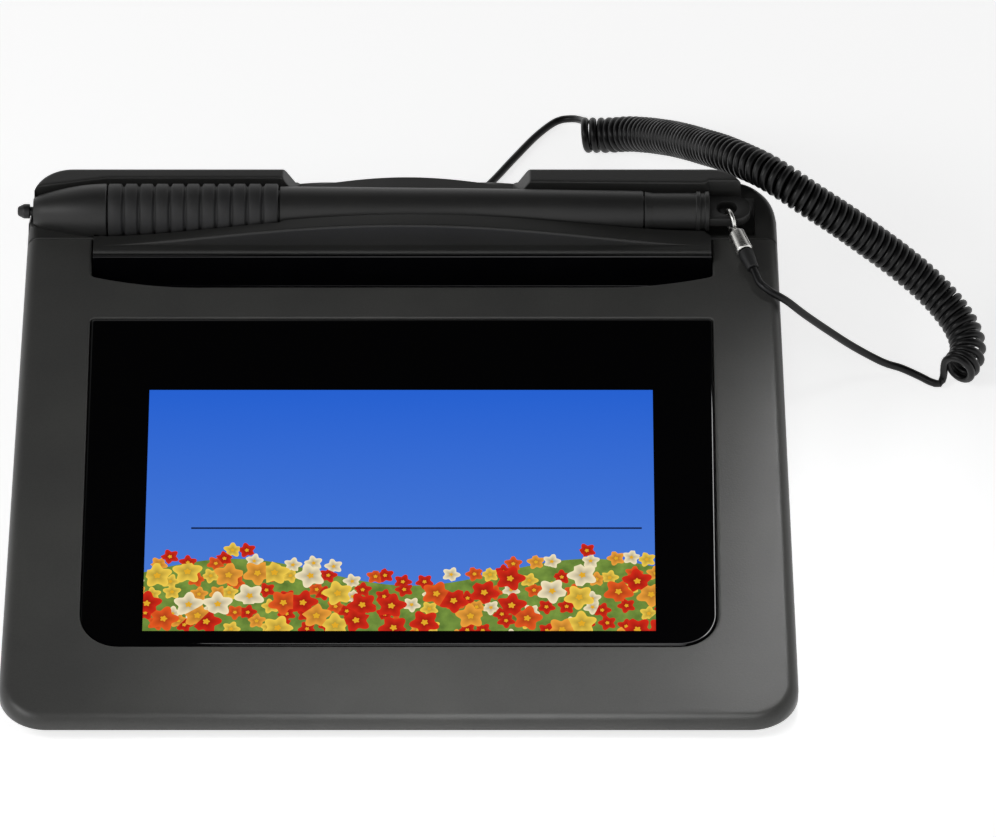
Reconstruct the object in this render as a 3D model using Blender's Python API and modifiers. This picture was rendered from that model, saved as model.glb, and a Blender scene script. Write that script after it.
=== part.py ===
"""Signature pad with a tethered pen.

A wedge-shaped case holds a display under black glass. Along its back edge a pen lies in a tray, and a
curly tether runs from the case's back, over its right rear corner, to a swivel on the pen's tail.

Metres, +Z up. X runs along the front edge and Y from the front to the back. The origin is on the
table, under the middle of the case.
"""
import math

import bmesh
import bpy
from mathutils import Matrix, Vector

# Fits between neighbouring pieces, and how far cutters and joined shapes run on
FIT = 0.0003
OVERRUN = 0.002
OVERLAP = 0.0005
WELD = 0.000001
CORNER_STEPS = 6
ROUND_STEPS = 20
SCREW_STEPS = 12

# Case
REAR_DEPTH = 0.0371
HALF_WIDTH = 0.0838
SIDE_TAPER_SHARE = 0.0187
PANEL_RISE = 0.02536
LIP_HEIGHT = 0.0065
SKIRT_HEIGHT = 0.0036
SHELL = 0.0022
FRONT_CORNER = 0.0103
REAR_CORNER = 0.0100
EDGE_ROLL = 0.0024

# Base
BASE_BOTTOM = 0.0020
FLOOR = 0.0015
RIM = 0.0014
RIM_TOP = 0.0080

# Display, measured along the sloping panel from the front edge
GLASS_START = 0.0196
GLASS_LENGTH = 0.0871
GLASS_SIDE_INSET = 0.0168
GLASS_THICK = 0.0015
GLASS_SET_DOWN = 0.0001
GLASS_FRONT_CORNER = 0.0080
GLASS_REAR_CORNER = 0.0008
GASKET_THICK = 0.0004
GASKET_WIDTH = 0.0010
SEAT_FLANGE = 0.0012
SCREEN_FRONT_BORDER = 0.00375
SCREEN_REAR_BORDER = 0.01935
SCREEN_SIDE_BORDER = 0.0130
CELL_BORDER = 0.0014
CELL_THICK = 0.0011
BACKLIGHT_THICK = 0.0013
FRAME_WALL = 0.0004
SENSOR_MARGIN = 0.0026
SENSOR_THICK = 0.0008
SHIELD_THICK = 0.0003

# Bar, slot and the shelf under the pen tray, inwards from the rear edge and the sides
BAR_REAR_INSET = 0.0300
BAR_END_REAR_INSET = 0.0270
BAR_STRAIGHT_HALF_INSET = 0.0398
BAR_STEPS = 5
SLOT_HALF_INSET = 0.0164
SHELF_HEIGHT = 0.0200
SEAM_INSET = 0.0171

# Pen tray
LEDGE_FRONT_INSET = 0.0225
LEDGE_TOP = 0.0300
ARCH_FRONT_INSET = 0.0204
ARCH_HALF_INSET = 0.0178
ARCH_RISE = 0.0058
ARCH_POWER_SHARE = 1.7
ARCH_STEPS = 24
RIDGE_TOP = 0.0360
RIDGE_REAR_INSET = 0.0015
RIDGE_LEFT_INSET = 0.0033
RIDGE_RIGHT_INSET = 0.0092
RIDGE_LEFT_CORNER = 0.0085
RIDGE_RIGHT_CORNER = 0.0075
RIDGE_ROLL = 0.0010
NOTCH_LEFT = -0.0261
NOTCH_RIGHT = 0.0278
NOTCH_SLOPE = 0.0036
NOTCH_END_HEIGHT = 0.0302
NOTCH_MIDDLE_HEIGHT = 0.0332
NOTCH_STEPS = 10
TRAY_POCKET = 0.0026
TROUGH_CLEARANCE = 0.0004
TROUGH_END_INSET = 0.0070
EYE_ROOM_RADIUS = 0.0056

# Slot strip
STRIP_THICK = 0.0008
STRIP_TOP = 0.0296
STRIP_FOOT = 0.0016

# Pen, along its axis, which is parallel to X, inwards from the side that its nib or its tail is near
PEN_Y_INSET = 0.0113
PEN_HEIGHT = 0.0319
NIB_RADIUS = 0.0016
NIB_ROUND = 0.0008
NIB_TRAVEL = 0.0005
STEM_RADIUS = 0.0010
STEM_END_INSET = 0.0199
CONE_FRONT_INSET = 0.0035
CONE_FRONT_RADIUS = 0.0031
CONE_CHAMBER_INSET = 0.0078
CONE_CHAMBER_RADIUS = 0.0029
CONE_REAR_INSET = 0.0195
SPIGOT_RADIUS = 0.0033
SPIGOT_LENGTH = 0.0057
GRIP_RADIUS = 0.0060
GRIP_FRONT_INSET = 0.0198
GRIP_REAR_INSET = 0.0568
GRIP_INNER_RADIUS = 0.0049
RIB_COUNT = 11
RIB_GROOVE_WIDTH = 0.0010
RIB_GROOVE_DEPTH = 0.0006
BARREL_CORE_RADIUS = 0.0046
BARREL_BORE_RADIUS = 0.0036
BARREL_FRONT_RADIUS = 0.0054
BARREL_REAR_RADIUS = 0.0044
BARREL_REAR_INSET = 0.0314
CAP_RADIUS = 0.0040
CAP_END_INSET = 0.0170
CAP_RING_RADIUS = 0.0043
CAP_RING_WIDTH = 0.0010
CAP_RING_PITCH = 0.0019
CAP_SPIGOT_LENGTH = 0.0062
TAB_END_INSET = 0.0081
TAB_HALF_WIDTH = 0.0038
TAB_THICK = 0.0022
EYELET_X_INSET = 0.0132
EYELET_RADIUS = 0.0022

# Pen electronics
FERRITE_WALL = 0.0006
FERRITE_LENGTH = 0.0084
COIL_WALL = 0.0004
COIL_LENGTH = 0.0068
SWITCH_LENGTH = 0.0034
SWITCH_GAP = 0.0006
PEN_BOARD_REAR_INSET = 0.0457
PEN_BOARD_HALF_WIDTH = 0.0032
PEN_BOARD_THICK = 0.0008

# Swivel, measured from the eyelet along its own axis
SWIVEL_WAY = Vector((0.33, -0.93, -0.15)).normalized()
EYE_BACK = 0.0007
EYE_RADIUS = 0.00235
EYE_WIRE = 0.0010
SHANK_RADIUS = 0.0008
SHANK_HEAD_RADIUS = 0.0012
SHANK_HEAD_THICK = 0.0008
SWIVEL_START = 0.0060
SWIVEL_LENGTH = 0.0054
SWIVEL_RADIUS = 0.0019
SWIVEL_CHAMFER = 0.0005
SWIVEL_LIP = 0.0009
SWIVEL_CHAMBER = 0.0030
SWIVEL_LIP_RADIUS = 0.0011
SWIVEL_CHAMBER_RADIUS = 0.0015
BOOT_LENGTH = 0.0048
BOOT_RADIUS = 0.0017
BOOT_END_RADIUS = 0.0013

# Tether
CORD_THICK = 0.0017
CURL_RADIUS = 0.0032
CURL_PITCH = 0.00218
CURL_POINTS = 8
BEND_REACH = 3
CURL_START_SHARE = -1 / 8
CURL_END_SHARE = 1 / 4
LEAD_STEP = 0.0045
GLAND_X_INSET = 0.0748
GLAND_HEIGHT = 0.0120
GLAND_NECK_RADIUS = 0.0025
GLAND_FLANGE_RADIUS = 0.0035
GLAND_FLANGE = 0.0014
GLAND_SLEEVE = 0.0065
GLAND_SLEEVE_RADIUS = 0.0023
GLAND_END_RADIUS = 0.0014

# The tether's route in millimetres, to the right and the back of the case's right rear corner, and up
# from the table: where the free leads and the middle line of the curls lie
MM = 0.001
PAD_LEAD_ROUTE = [
    (-74.8, 14.2, 9.6), (-72.8, 20.2, 5.6), (-69.3, 26.7, 2.4), (-64.8, 33.2, 1.2),
    (-59.5, 41.7, 1.15), (-54.3, 49.7, 1.15), (-49.8, 54.6, 1.2), (-46.4, 54.7, 1.9),
    (-44.4, 53.0, 3.0),
]
CURL_ROUTE = [
    (-43.5, 45.9, 4.6), (-38.2, 45.2, 5.2), (-33.5, 42.8, 7.6), (-29.9, 39.3, 10.3),
    (-27.3, 35.5, 13.2), (-22.8, 27.4, 19.1), (-18.7, 19.0, 24.8), (-14.3, 10.5, 30.3),
    (-11.7, 6.3, 32.6), (-8.6, 2.1, 34.4), (-4.8, -1.7, 35.3), (-0.4, -5.0, 34.6),
    (4.2, -7.2, 32.4), (8.7, -8.5, 29.7), (13.2, -9.4, 26.6), (17.5, -10.2, 23.3),
    (21.9, -11.1, 20.0), (26.5, -12.5, 16.6), (31.0, -14.7, 13.4), (35.1, -17.8, 10.4),
    (38.2, -21.7, 7.9), (39.6, -25.9, 6.3), (39.1, -30.1, 5.6), (37.0, -33.6, 5.4),
]
PEN_LEAD_ROUTE = [
    (33.4, -33.2, 1.1), (31.5, -32.6, 1.05), (29.2, -30.9, 1.1), (25.2, -29.2, 2.0),
    (21.0, -29.3, 3.9), (14.6, -29.7, 8.7), (8.8, -31.4, 15.0), (3.4, -33.1, 21.3),
    (-0.6, -33.6, 25.7), (-4.2, -33.0, 27.9), (-6.4, -31.0, 28.6),
]

# Boards and fasteners
BOARD_HALF_WIDTH_INSET = 0.0378
BOARD_FRONT_INSET = 0.0578
BOARD_REAR_INSET = 0.0053
BOARD_BOTTOM = 0.0080
BOARD_THICK = 0.0016
BOARD_HOLE_INSET = 0.0040
BOARD_POST_RADIUS = 0.0030
BOARD_SCREW_RADIUS = 0.0011
BOARD_SCREW_LENGTH = 0.0040
BOARD_SCREW_HEAD_RADIUS = 0.0021
BOARD_SCREW_HEAD = 0.0013
CONTROLLER_SIDE = 0.0140
CONTROLLER_HEIGHT = 0.0014
CONTROLLER_Y_INSET = 0.0358
MEMORY_X = 0.0220
MEMORY_WIDTH = 0.0080
MEMORY_LENGTH = 0.0110
MEMORY_HEIGHT = 0.0011
RIBBON_HALF_WIDTH = 0.0110
RIBBON_THICK = 0.0003
SOCKET_EDGE_INSET = 0.0140
SOCKET_WIDTH = 0.0077
SOCKET_HEIGHT = 0.0039
SOCKET_LENGTH = 0.0092
SOCKET_WALL = 0.0005
SOCKET_TONGUE = 0.0012
SOCKET_SET_BACK = 0.0008
CASE_SCREW_X_INSET = 0.0138
CASE_SCREW_FRONT = 0.0140
CASE_SCREW_REAR_INSET = 0.0378
CASE_SCREW_RADIUS = 0.0012
CASE_SCREW_HEAD_RADIUS = 0.0023
CASE_SCREW_HEAD = 0.0013
CASE_SCREW_FRONT_LENGTH = 0.0030
CASE_SCREW_REAR_LENGTH = 0.0080
SCREW_CUP_RADIUS = 0.0037
SCREW_CUP_HEIGHT = 0.0012
CASE_POST_RADIUS = 0.0030
FOOT_X_INSET = 0.0238
FOOT_FRONT = 0.0140
FOOT_REAR_INSET = 0.0158
FOOT_RADIUS = 0.0060
FOOT_THICK = 0.0023
FOOT_BEVEL = 0.0004

# Places that follow the case's size
DEPTH = GLASS_START + GLASS_LENGTH + REAR_DEPTH
PANEL_TILT = math.atan(PANEL_RISE / DEPTH)
GLASS_WIDTH = 2 * (HALF_WIDTH - GLASS_SIDE_INSET)
SCREEN_START = GLASS_START + SCREEN_FRONT_BORDER
SCREEN_WIDTH = GLASS_WIDTH - 2 * SCREEN_SIDE_BORDER
SCREEN_HEIGHT = GLASS_LENGTH - SCREEN_FRONT_BORDER - SCREEN_REAR_BORDER
NIB_TIP = -HALF_WIDTH
BAR_REAR = DEPTH - BAR_REAR_INSET
BAR_END_REAR = DEPTH - BAR_END_REAR_INSET
SEAM = DEPTH - SEAM_INSET
LEDGE_FRONT = DEPTH - LEDGE_FRONT_INSET
ARCH_FRONT = DEPTH - ARCH_FRONT_INSET
RIDGE_REAR = DEPTH - RIDGE_REAR_INSET
PEN_Y = DEPTH - PEN_Y_INSET
BOARD_FRONT = DEPTH - BOARD_FRONT_INSET
BOARD_REAR = DEPTH - BOARD_REAR_INSET
CONTROLLER_Y = DEPTH - CONTROLLER_Y_INSET
CASE_SCREW_REAR = DEPTH - CASE_SCREW_REAR_INSET
FOOT_REAR = DEPTH - FOOT_REAR_INSET
BAR_STRAIGHT_HALF = HALF_WIDTH - BAR_STRAIGHT_HALF_INSET
SLOT_HALF = HALF_WIDTH - SLOT_HALF_INSET
ARCH_HALF = HALF_WIDTH - ARCH_HALF_INSET
RIDGE_RIGHT = HALF_WIDTH - RIDGE_RIGHT_INSET
TROUGH_END = HALF_WIDTH - TROUGH_END_INSET
BARREL_REAR = HALF_WIDTH - BARREL_REAR_INSET
CAP_END = HALF_WIDTH - CAP_END_INSET
TAB_END = HALF_WIDTH - TAB_END_INSET
EYELET_X = HALF_WIDTH - EYELET_X_INSET
BOARD_HALF_WIDTH = HALF_WIDTH - BOARD_HALF_WIDTH_INSET
SOCKET_X = SOCKET_EDGE_INSET - BOARD_HALF_WIDTH
CASE_SCREW_X = HALF_WIDTH - CASE_SCREW_X_INSET
FOOT_X = HALF_WIDTH - FOOT_X_INSET
GLAND_X = HALF_WIDTH - GLAND_X_INSET
RIDGE_LEFT = RIDGE_LEFT_INSET - HALF_WIDTH
STEM_END = STEM_END_INSET - HALF_WIDTH
CONE_FRONT = CONE_FRONT_INSET - HALF_WIDTH
CONE_CHAMBER = CONE_CHAMBER_INSET - HALF_WIDTH
CONE_REAR = CONE_REAR_INSET - HALF_WIDTH
GRIP_FRONT = GRIP_FRONT_INSET - HALF_WIDTH
GRIP_REAR = GRIP_REAR_INSET - HALF_WIDTH
NIB_SHOULDER = CONE_FRONT - NIB_TRAVEL - FIT
PEN_BOARD_REAR = BARREL_REAR - PEN_BOARD_REAR_INSET
FRONT = -DEPTH / 2
SLOPE = math.tan(PANEL_TILT)
PANEL = Matrix.Translation((0, FRONT, LIP_HEIGHT)) @ Matrix.Rotation(PANEL_TILT, 4, "X")
PEN = Matrix.Translation((0, FRONT + PEN_Y, PEN_HEIGHT)) @ Matrix.Rotation(math.radians(90), 4, "Y")
GLAND_PLACE = Matrix.Translation((GLAND_X, FRONT + DEPTH, GLAND_HEIGHT))
GLAND = GLAND_PLACE @ Matrix.Rotation(math.radians(-90), 4, "X")
WORLD = Matrix.Identity(4)

for old in list(bpy.data.objects):
    bpy.data.objects.remove(old)
PARTS = bpy.data.collections.new("signature_pad")
CUTTERS = bpy.data.collections.new("cutters")
bpy.context.scene.collection.children.link(PARTS)
bpy.context.scene.collection.children.link(CUTTERS)


def material(name, colour, roughness, metallic=0.0):
    """A plain Principled material."""
    made = bpy.data.materials.new(name)
    made.use_nodes = True
    shader = made.node_tree.nodes["Principled BSDF"]
    shader.inputs["Base Color"].default_value = (*colour, 1)
    shader.inputs["Roughness"].default_value = roughness
    shader.inputs["Metallic"].default_value = metallic
    return made


CHARCOAL = material("charcoal_plastic", (0.065, 0.065, 0.062), 0.45)
DARK_PLASTIC = material("dark_plastic", (0.035, 0.035, 0.036), 0.5)
GLOSS_BLACK = material("gloss_black", (0.004, 0.004, 0.006), 0.08)
RUBBER = material("black_rubber", (0.02, 0.02, 0.02), 0.75)
STEEL = material("bright_steel", (0.72, 0.72, 0.72), 0.2, 1.0)
ZINC = material("zinc_plate", (0.5, 0.5, 0.48), 0.4, 1.0)
DISPLAY = material("display_cell", (0.03, 0.12, 0.5), 0.2)
DIFFUSER = material("white_diffuser", (0.8, 0.8, 0.8), 0.6)
BOARD_GREEN = material("board_green", (0.02, 0.16, 0.05), 0.4)
CHIP_BLACK = material("chip_black", (0.015, 0.015, 0.015), 0.5)
FERRITE = material("ferrite", (0.05, 0.045, 0.04), 0.6)
COPPER = material("enamelled_copper", (0.6, 0.2, 0.06), 0.3, 1.0)
FOAM = material("black_foam", (0.01, 0.01, 0.01), 0.9)
FLEX_AMBER = material("flex_amber", (0.35, 0.14, 0.02), 0.3)
CORD_BLACK = material("tether_black", (0.018, 0.018, 0.019), 0.35)


def placed(name, mesh, matrix, finish=None):
    """An object for a mesh, among the parts if it has a finish and among the cutters if it has none."""
    made = bpy.data.objects.new(name, mesh)
    made.matrix_world = matrix
    if finish is None:
        CUTTERS.objects.link(made)
        made.hide_render = True
        made.display_type = "WIRE"
    else:
        PARTS.objects.link(made)
        mesh.materials.append(finish)
    return made


def from_curve(name, curve, matrix, finish):
    """The mesh of a curve, with its loose caps welded on."""
    guide = bpy.data.objects.new(name + "_guide", curve)
    CUTTERS.objects.link(guide)
    ready = guide.evaluated_get(bpy.context.evaluated_depsgraph_get())
    mesh = bpy.data.meshes.new_from_object(ready)
    mesh.materials.clear()
    bpy.data.objects.remove(guide)
    bpy.data.curves.remove(curve)
    work = bmesh.new()
    work.from_mesh(mesh)
    bmesh.ops.remove_doubles(work, verts=work.verts, dist=WELD)
    work.to_mesh(mesh)
    work.free()
    return placed(name, mesh, matrix, finish)


def poly(name, points, closed):
    """A curve with straight pieces through the points."""
    curve = bpy.data.curves.new(name, "CURVE")
    spline = curve.splines.new("POLY")
    spline.points.add(len(points) - 1)
    for place, point in zip(spline.points, points):
        place.co = (*Vector(point).to_3d(), 1)
    spline.use_cyclic_u = closed
    return curve


def plate(name, outline, low, high, finish=None, matrix=WORLD):
    """A flat outline in X and Y, thickened from low to high."""
    curve = poly(name, outline, True)
    curve.dimensions = "2D"
    curve.fill_mode = "BOTH"
    curve.extrude = (high - low) / 2
    lift = Matrix.Translation((0, 0, (high + low) / 2))
    made = from_curve(name, curve, matrix, finish)
    made.data.transform(lift)
    return made


def tube(name, points, radius, sides, finish=None, closed=False):
    """A round wire along the points, with filled ends."""
    curve = poly(name, points, closed)
    curve.dimensions = "3D"
    curve.bevel_depth = radius
    curve.bevel_resolution = sides
    curve.use_fill_caps = not closed
    return from_curve(name, curve, WORLD, finish)


def box(name, low, high, finish=None, matrix=WORLD):
    """A block between two corners."""
    work = bmesh.new()
    size = Vector(high) - Vector(low)
    middle = Matrix.Translation((Vector(high) + Vector(low)) / 2)
    bmesh.ops.create_cube(work, size=1, matrix=middle @ Matrix.Diagonal((*size, 1)))
    mesh = bpy.data.meshes.new(name)
    work.to_mesh(mesh)
    work.free()
    return placed(name, mesh, matrix, finish)


def peg(name, place, radius, low, high, finish=None, matrix=WORLD, steps=SCREW_STEPS):
    """An upright round bar at a place in X and Y."""
    work = bmesh.new()
    lift = Matrix.Translation((place[0], place[1], (low + high) / 2))
    bmesh.ops.create_cone(
        work, cap_ends=True, segments=steps, radius1=radius, radius2=radius, depth=high - low, matrix=lift
    )
    mesh = bpy.data.meshes.new(name)
    work.to_mesh(mesh)
    work.free()
    return placed(name, mesh, matrix, finish)


def turned(name, profile, matrix, finish=None, ring=False, steps=ROUND_STEPS):
    """A shape turned about Z from (radius, height) pairs, which run down its outer side."""
    work = bmesh.new()
    spots = [work.verts.new((radius, 0, height)) for radius, height in profile]
    for start, end in zip(spots, spots[1:] + spots[:1] if ring else spots[1:]):
        work.edges.new((start, end))
    mesh = bpy.data.meshes.new(name)
    work.to_mesh(mesh)
    work.free()
    made = placed(name, mesh, matrix, finish)
    screw = made.modifiers.new("turn", "SCREW")
    screw.steps = steps
    screw.render_steps = steps
    screw.use_merge_vertices = True
    screw.merge_threshold = WELD
    return made


def boolean(target, other, operation="DIFFERENCE"):
    """Cuts another shape from the target, or joins it on, and keeps it as a guide."""
    if other.name in PARTS.objects:
        PARTS.objects.unlink(other)
        CUTTERS.objects.link(other)
    other.hide_render = True
    other.display_type = "WIRE"
    step = target.modifiers.new(other.name, "BOOLEAN")
    step.operation = operation
    step.solver = "EXACT"
    step.object = other
    return target


def rounded(corners, radii, steps=CORNER_STEPS):
    """An outline whose corners are arcs of the given radii; a radius of zero leaves one sharp."""
    points = []
    for index, (corner, radius) in enumerate(zip(corners, radii)):
        here = Vector(corner)
        back = (Vector(corners[index - 1]) - here).normalized()
        ahead = (Vector(corners[(index + 1) % len(corners)]) - here).normalized()
        if not radius:
            points.append(here)
            continue
        half = back.angle(ahead) / 2
        centre = here + (back + ahead).normalized() * radius / math.sin(half)
        start = here + back * radius / math.tan(half) - centre
        end = here + ahead * radius / math.tan(half) - centre
        sweep = math.atan2(start.x * end.y - start.y * end.x, start.dot(end))
        for step in range(steps + 1):
            turn = Matrix.Rotation(sweep * step / steps, 2)
            points.append(centre + turn @ start)
    return points


def half_width(y):
    """Half of the case's width at a distance from its front edge."""
    return HALF_WIDTH + SIDE_TAPER_SHARE * (FRONT_CORNER - y)


def case_outline(inset, rear=DEPTH, rear_corner=REAR_CORNER):
    """The case seen from above, drawn in by an inset."""
    near = half_width(0) - inset
    far = half_width(rear) - inset
    front = FRONT + inset
    back = FRONT + rear - inset
    front_radius = max(FRONT_CORNER - inset, 0)
    rear_radius = max(rear_corner - inset, 0)
    corners = [(-near, front), (near, front), (far, back), (-far, back)]
    return rounded(corners, [front_radius, front_radius, rear_radius, rear_radius])


def panel_height(y, below=0.0):
    """The height of the sloping panel at a world Y, or of a plane that lies below it."""
    return LIP_HEIGHT + SLOPE * (y - FRONT) - below / math.cos(PANEL_TILT)


def wedge(name, outline, low, below=0.0, finish=None):
    """An upright block with its top cut to the panel's slope, or to a plane below it."""
    made = plate(name, outline, low, low + DEPTH, finish)
    for vertex in made.data.vertices:
        if vertex.co.z > low + WELD:
            vertex.co.z = panel_height(vertex.co.y, below)
    return made


def soften(made, radius, segments=3):
    """Rounds the edges between a shape's top and its sides."""
    work = bmesh.new()
    work.from_mesh(made.data)
    work.normal_update()
    level = math.cos(PANEL_TILT * 2)
    rims = [
        edge for edge in work.edges
        if len(edge.link_faces) == 2 and sum(face.normal.z > level for face in edge.link_faces) == 1
    ]
    bmesh.ops.bevel(work, geom=rims, offset=radius, segments=segments, profile=0.5, affect="EDGES")
    work.to_mesh(made.data)
    work.free()
    return made


def eased(made, width, segments=2):
    """A Bevel modifier on a shape's sharp edges."""
    step = made.modifiers.new("ease", "BEVEL")
    step.width = width
    step.segments = segments
    step.limit_method = "ANGLE"
    step.angle_limit = math.radians(60)
    return made


def rectangle(left, right, front, back):
    """The four corners of an upright rectangle, front left first."""
    return [(left, front), (right, front), (right, back), (left, back)]


def stack_below(*layers):
    """How deep a layer of the display starts, under the layers named and a fit for each."""
    return GLASS_SET_DOWN + sum(layers) + FIT * len(layers)


# Case screws: where they stand and how high the posts above them start
CASE_SCREWS = {
    "front_left": (-CASE_SCREW_X, FRONT + CASE_SCREW_FRONT, CASE_SCREW_FRONT_LENGTH),
    "front_right": (CASE_SCREW_X, FRONT + CASE_SCREW_FRONT, CASE_SCREW_FRONT_LENGTH),
    "rear_left": (-CASE_SCREW_X, FRONT + CASE_SCREW_REAR, CASE_SCREW_REAR_LENGTH),
    "rear_right": (CASE_SCREW_X, FRONT + CASE_SCREW_REAR, CASE_SCREW_REAR_LENGTH),
}
FLOOR_TOP = BASE_BOTTOM + FLOOR
CUP_TOP = FLOOR_TOP + SCREW_CUP_HEIGHT
HEAD_TOP = BASE_BOTTOM + CASE_SCREW_HEAD
POST_BOTTOM = CUP_TOP + FIT
SOCKET_BOTTOM = BOARD_BOTTOM + BOARD_THICK + FIT
SOCKET_REAR = DEPTH - SOCKET_SET_BACK
GLASS_HALF = GLASS_WIDTH / 2
GLASS_END = GLASS_START + GLASS_LENGTH
SEAT_DEPTH = stack_below(GLASS_THICK, GASKET_THICK)
OPENING_HALF = GLASS_HALF - GASKET_WIDTH - FIT
OPENING_START = GLASS_START + GASKET_WIDTH + FIT
OPENING_END = GLASS_END - GASKET_WIDTH - FIT


def slot_outline():
    """The slot from above: the bar's rear edge runs back at both ends."""
    bend = []
    for step in range(BAR_STEPS + 1):
        share = step / BAR_STEPS
        x = BAR_STRAIGHT_HALF + (SLOT_HALF - BAR_STRAIGHT_HALF) * share
        bend.append((x, FRONT + BAR_REAR + (BAR_END_REAR - BAR_REAR) * share * share))
    right = bend + [(SLOT_HALF, FRONT + SEAM + OVERRUN)]
    return right + [(-x, y) for x, y in right[::-1]]


def glass_outline(grow):
    """The cover glass in the panel's plane, with its front corners rounded, grown all round."""
    corners = rectangle(-GLASS_HALF - grow, GLASS_HALF + grow, GLASS_START - grow, GLASS_END + grow)
    near = GLASS_FRONT_CORNER + grow
    far = GLASS_REAR_CORNER + grow
    return rounded(corners, [near, near, far, far])


def make_top_housing():
    """The moulded top: front frame, rails, bar and the shelf that carries the pen tray."""
    made = soften(wedge("top_housing", case_outline(0), SKIRT_HEIGHT, finish=CHARCOAL), EDGE_ROLL)
    wall_front = BAR_REAR - SHELL
    chamber = case_outline(SHELL, rear=wall_front + SHELL, rear_corner=SHELL)
    boolean(made, wedge("front_chamber", chamber, SKIRT_HEIGHT - OVERRUN, below=SHELL))
    near = half_width(wall_front) - SHELL
    far = half_width(DEPTH) - SHELL
    start = FRONT + wall_front - OVERRUN
    end = FRONT + DEPTH - SHELL
    corners = [(-near, start), (near, start), (far, end), (-far, end)]
    rear_plan = rounded(corners, [0, 0, REAR_CORNER - SHELL, REAR_CORNER - SHELL])
    boolean(made, plate("rear_chamber", rear_plan, SKIRT_HEIGHT - OVERRUN, SHELF_HEIGHT - SHELL))
    seat = plate(
        "glass_seat",
        glass_outline(SHELL),
        -SEAT_DEPTH - SEAT_FLANGE,
        OVERLAP - SHELL,
        matrix=PANEL,
    )
    boolean(made, seat, "UNION")
    for name, (x, y, _) in CASE_SCREWS.items():
        top = panel_height(y, SHELL) + OVERLAP
        boolean(made, peg("case_post_" + name, (x, y), CASE_POST_RADIUS, POST_BOTTOM, top), "UNION")
    boolean(made, plate("glass_pocket", glass_outline(FIT), -SEAT_DEPTH, OVERRUN, matrix=PANEL))
    window = rectangle(-OPENING_HALF, OPENING_HALF, OPENING_START, OPENING_END)
    window = rounded(window, [GLASS_FRONT_CORNER, GLASS_FRONT_CORNER, GLASS_REAR_CORNER, GLASS_REAR_CORNER])
    boolean(made, plate("glass_window", window, -SEAT_DEPTH - SEAT_FLANGE - OVERRUN, 0, matrix=PANEL))
    bay_low = (-HALF_WIDTH - OVERRUN, FRONT + SEAM, SHELF_HEIGHT)
    bay_high = (HALF_WIDTH + OVERRUN, FRONT + DEPTH + OVERRUN, RIDGE_TOP)
    boolean(made, box("tray_bay", bay_low, bay_high))
    boolean(made, plate("slot", slot_outline(), SHELF_HEIGHT, RIDGE_TOP))
    for name, (x, y, length) in CASE_SCREWS.items():
        bore_top = HEAD_TOP + FIT + length + CASE_SCREW_HEAD
        hole = peg("case_bore_" + name, (x, y), CASE_SCREW_RADIUS + FIT, SKIRT_HEIGHT, bore_top)
        boolean(made, hole)
    rear_wall = FRONT + DEPTH
    socket_low = (SOCKET_X - SOCKET_WIDTH / 2 - FIT, rear_wall - SHELL - OVERRUN, SOCKET_BOTTOM - FIT)
    socket_high = (
        SOCKET_X + SOCKET_WIDTH / 2 + FIT, rear_wall + OVERRUN, SOCKET_BOTTOM + SOCKET_HEIGHT + FIT
    )
    boolean(made, box("socket_opening", socket_low, socket_high))
    hole_radius = GLAND_NECK_RADIUS + FIT
    boolean(made, peg("gland_hole", (0, 0), hole_radius, -SHELL - OVERRUN, OVERRUN, matrix=GLAND))
    return made


def make_base_housing():
    """The lower shell: a floor inside the skirt, a low rim, screw cups, board posts and foot recesses."""
    inset = SHELL + FIT
    made = plate("base_housing", case_outline(inset), BASE_BOTTOM, FLOOR_TOP, DARK_PLASTIC)
    rim = plate("base_rim", case_outline(inset), FLOOR_TOP - OVERLAP, RIM_TOP)
    boolean(rim, plate("base_rim_inside", case_outline(inset + RIM), FLOOR_TOP - OVERRUN, RIM_TOP + OVERRUN))
    boolean(rim, wedge("base_rim_trim", case_outline(-OVERRUN), BASE_BOTTOM, below=SHELL + FIT), "INTERSECT")
    boolean(made, rim, "UNION")
    for name, (x, y, _) in CASE_SCREWS.items():
        cup = peg("screw_cup_" + name, (x, y), SCREW_CUP_RADIUS, BASE_BOTTOM + OVERLAP, CUP_TOP)
        boolean(made, cup, "UNION")
        sink_radius = CASE_SCREW_HEAD_RADIUS + FIT
        boolean(made, peg("screw_sink_" + name, (x, y), sink_radius, BASE_BOTTOM - OVERRUN, HEAD_TOP + FIT))
        hole = peg("screw_hole_" + name, (x, y), CASE_SCREW_RADIUS + FIT, BASE_BOTTOM, CUP_TOP + OVERRUN)
        boolean(made, hole)
    for index, (x, y) in enumerate(board_holes()):
        top = BOARD_BOTTOM - FIT
        post = peg("board_post_%d" % index, (x, y), BOARD_POST_RADIUS, FLOOR_TOP - OVERLAP, top)
        boolean(made, post, "UNION")
        low = BOARD_BOTTOM + BOARD_THICK - BOARD_SCREW_LENGTH - FIT
        bore = peg("board_bore_%d" % index, (x, y), BOARD_SCREW_RADIUS + FIT, low, BOARD_BOTTOM + OVERRUN)
        boolean(made, bore)
    for name, place in foot_places().items():
        recess = peg("foot_recess_" + name, place, FOOT_RADIUS + FIT, 0, FOOT_THICK + FIT, steps=ROUND_STEPS)
        boolean(made, recess)
    return made


def board_holes():
    """The main board's four corner holes."""
    x = BOARD_HALF_WIDTH - BOARD_HOLE_INSET
    near = FRONT + BOARD_FRONT + BOARD_HOLE_INSET
    far = FRONT + BOARD_REAR - BOARD_HOLE_INSET
    return rectangle(-x, x, near, far)


def foot_places():
    """Where the four feet stand."""
    near = FRONT + FOOT_FRONT
    far = FRONT + FOOT_REAR
    return {
        "front_left": (-FOOT_X, near),
        "front_right": (FOOT_X, near),
        "rear_left": (-FOOT_X, far),
        "rear_right": (FOOT_X, far),
    }


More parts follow.
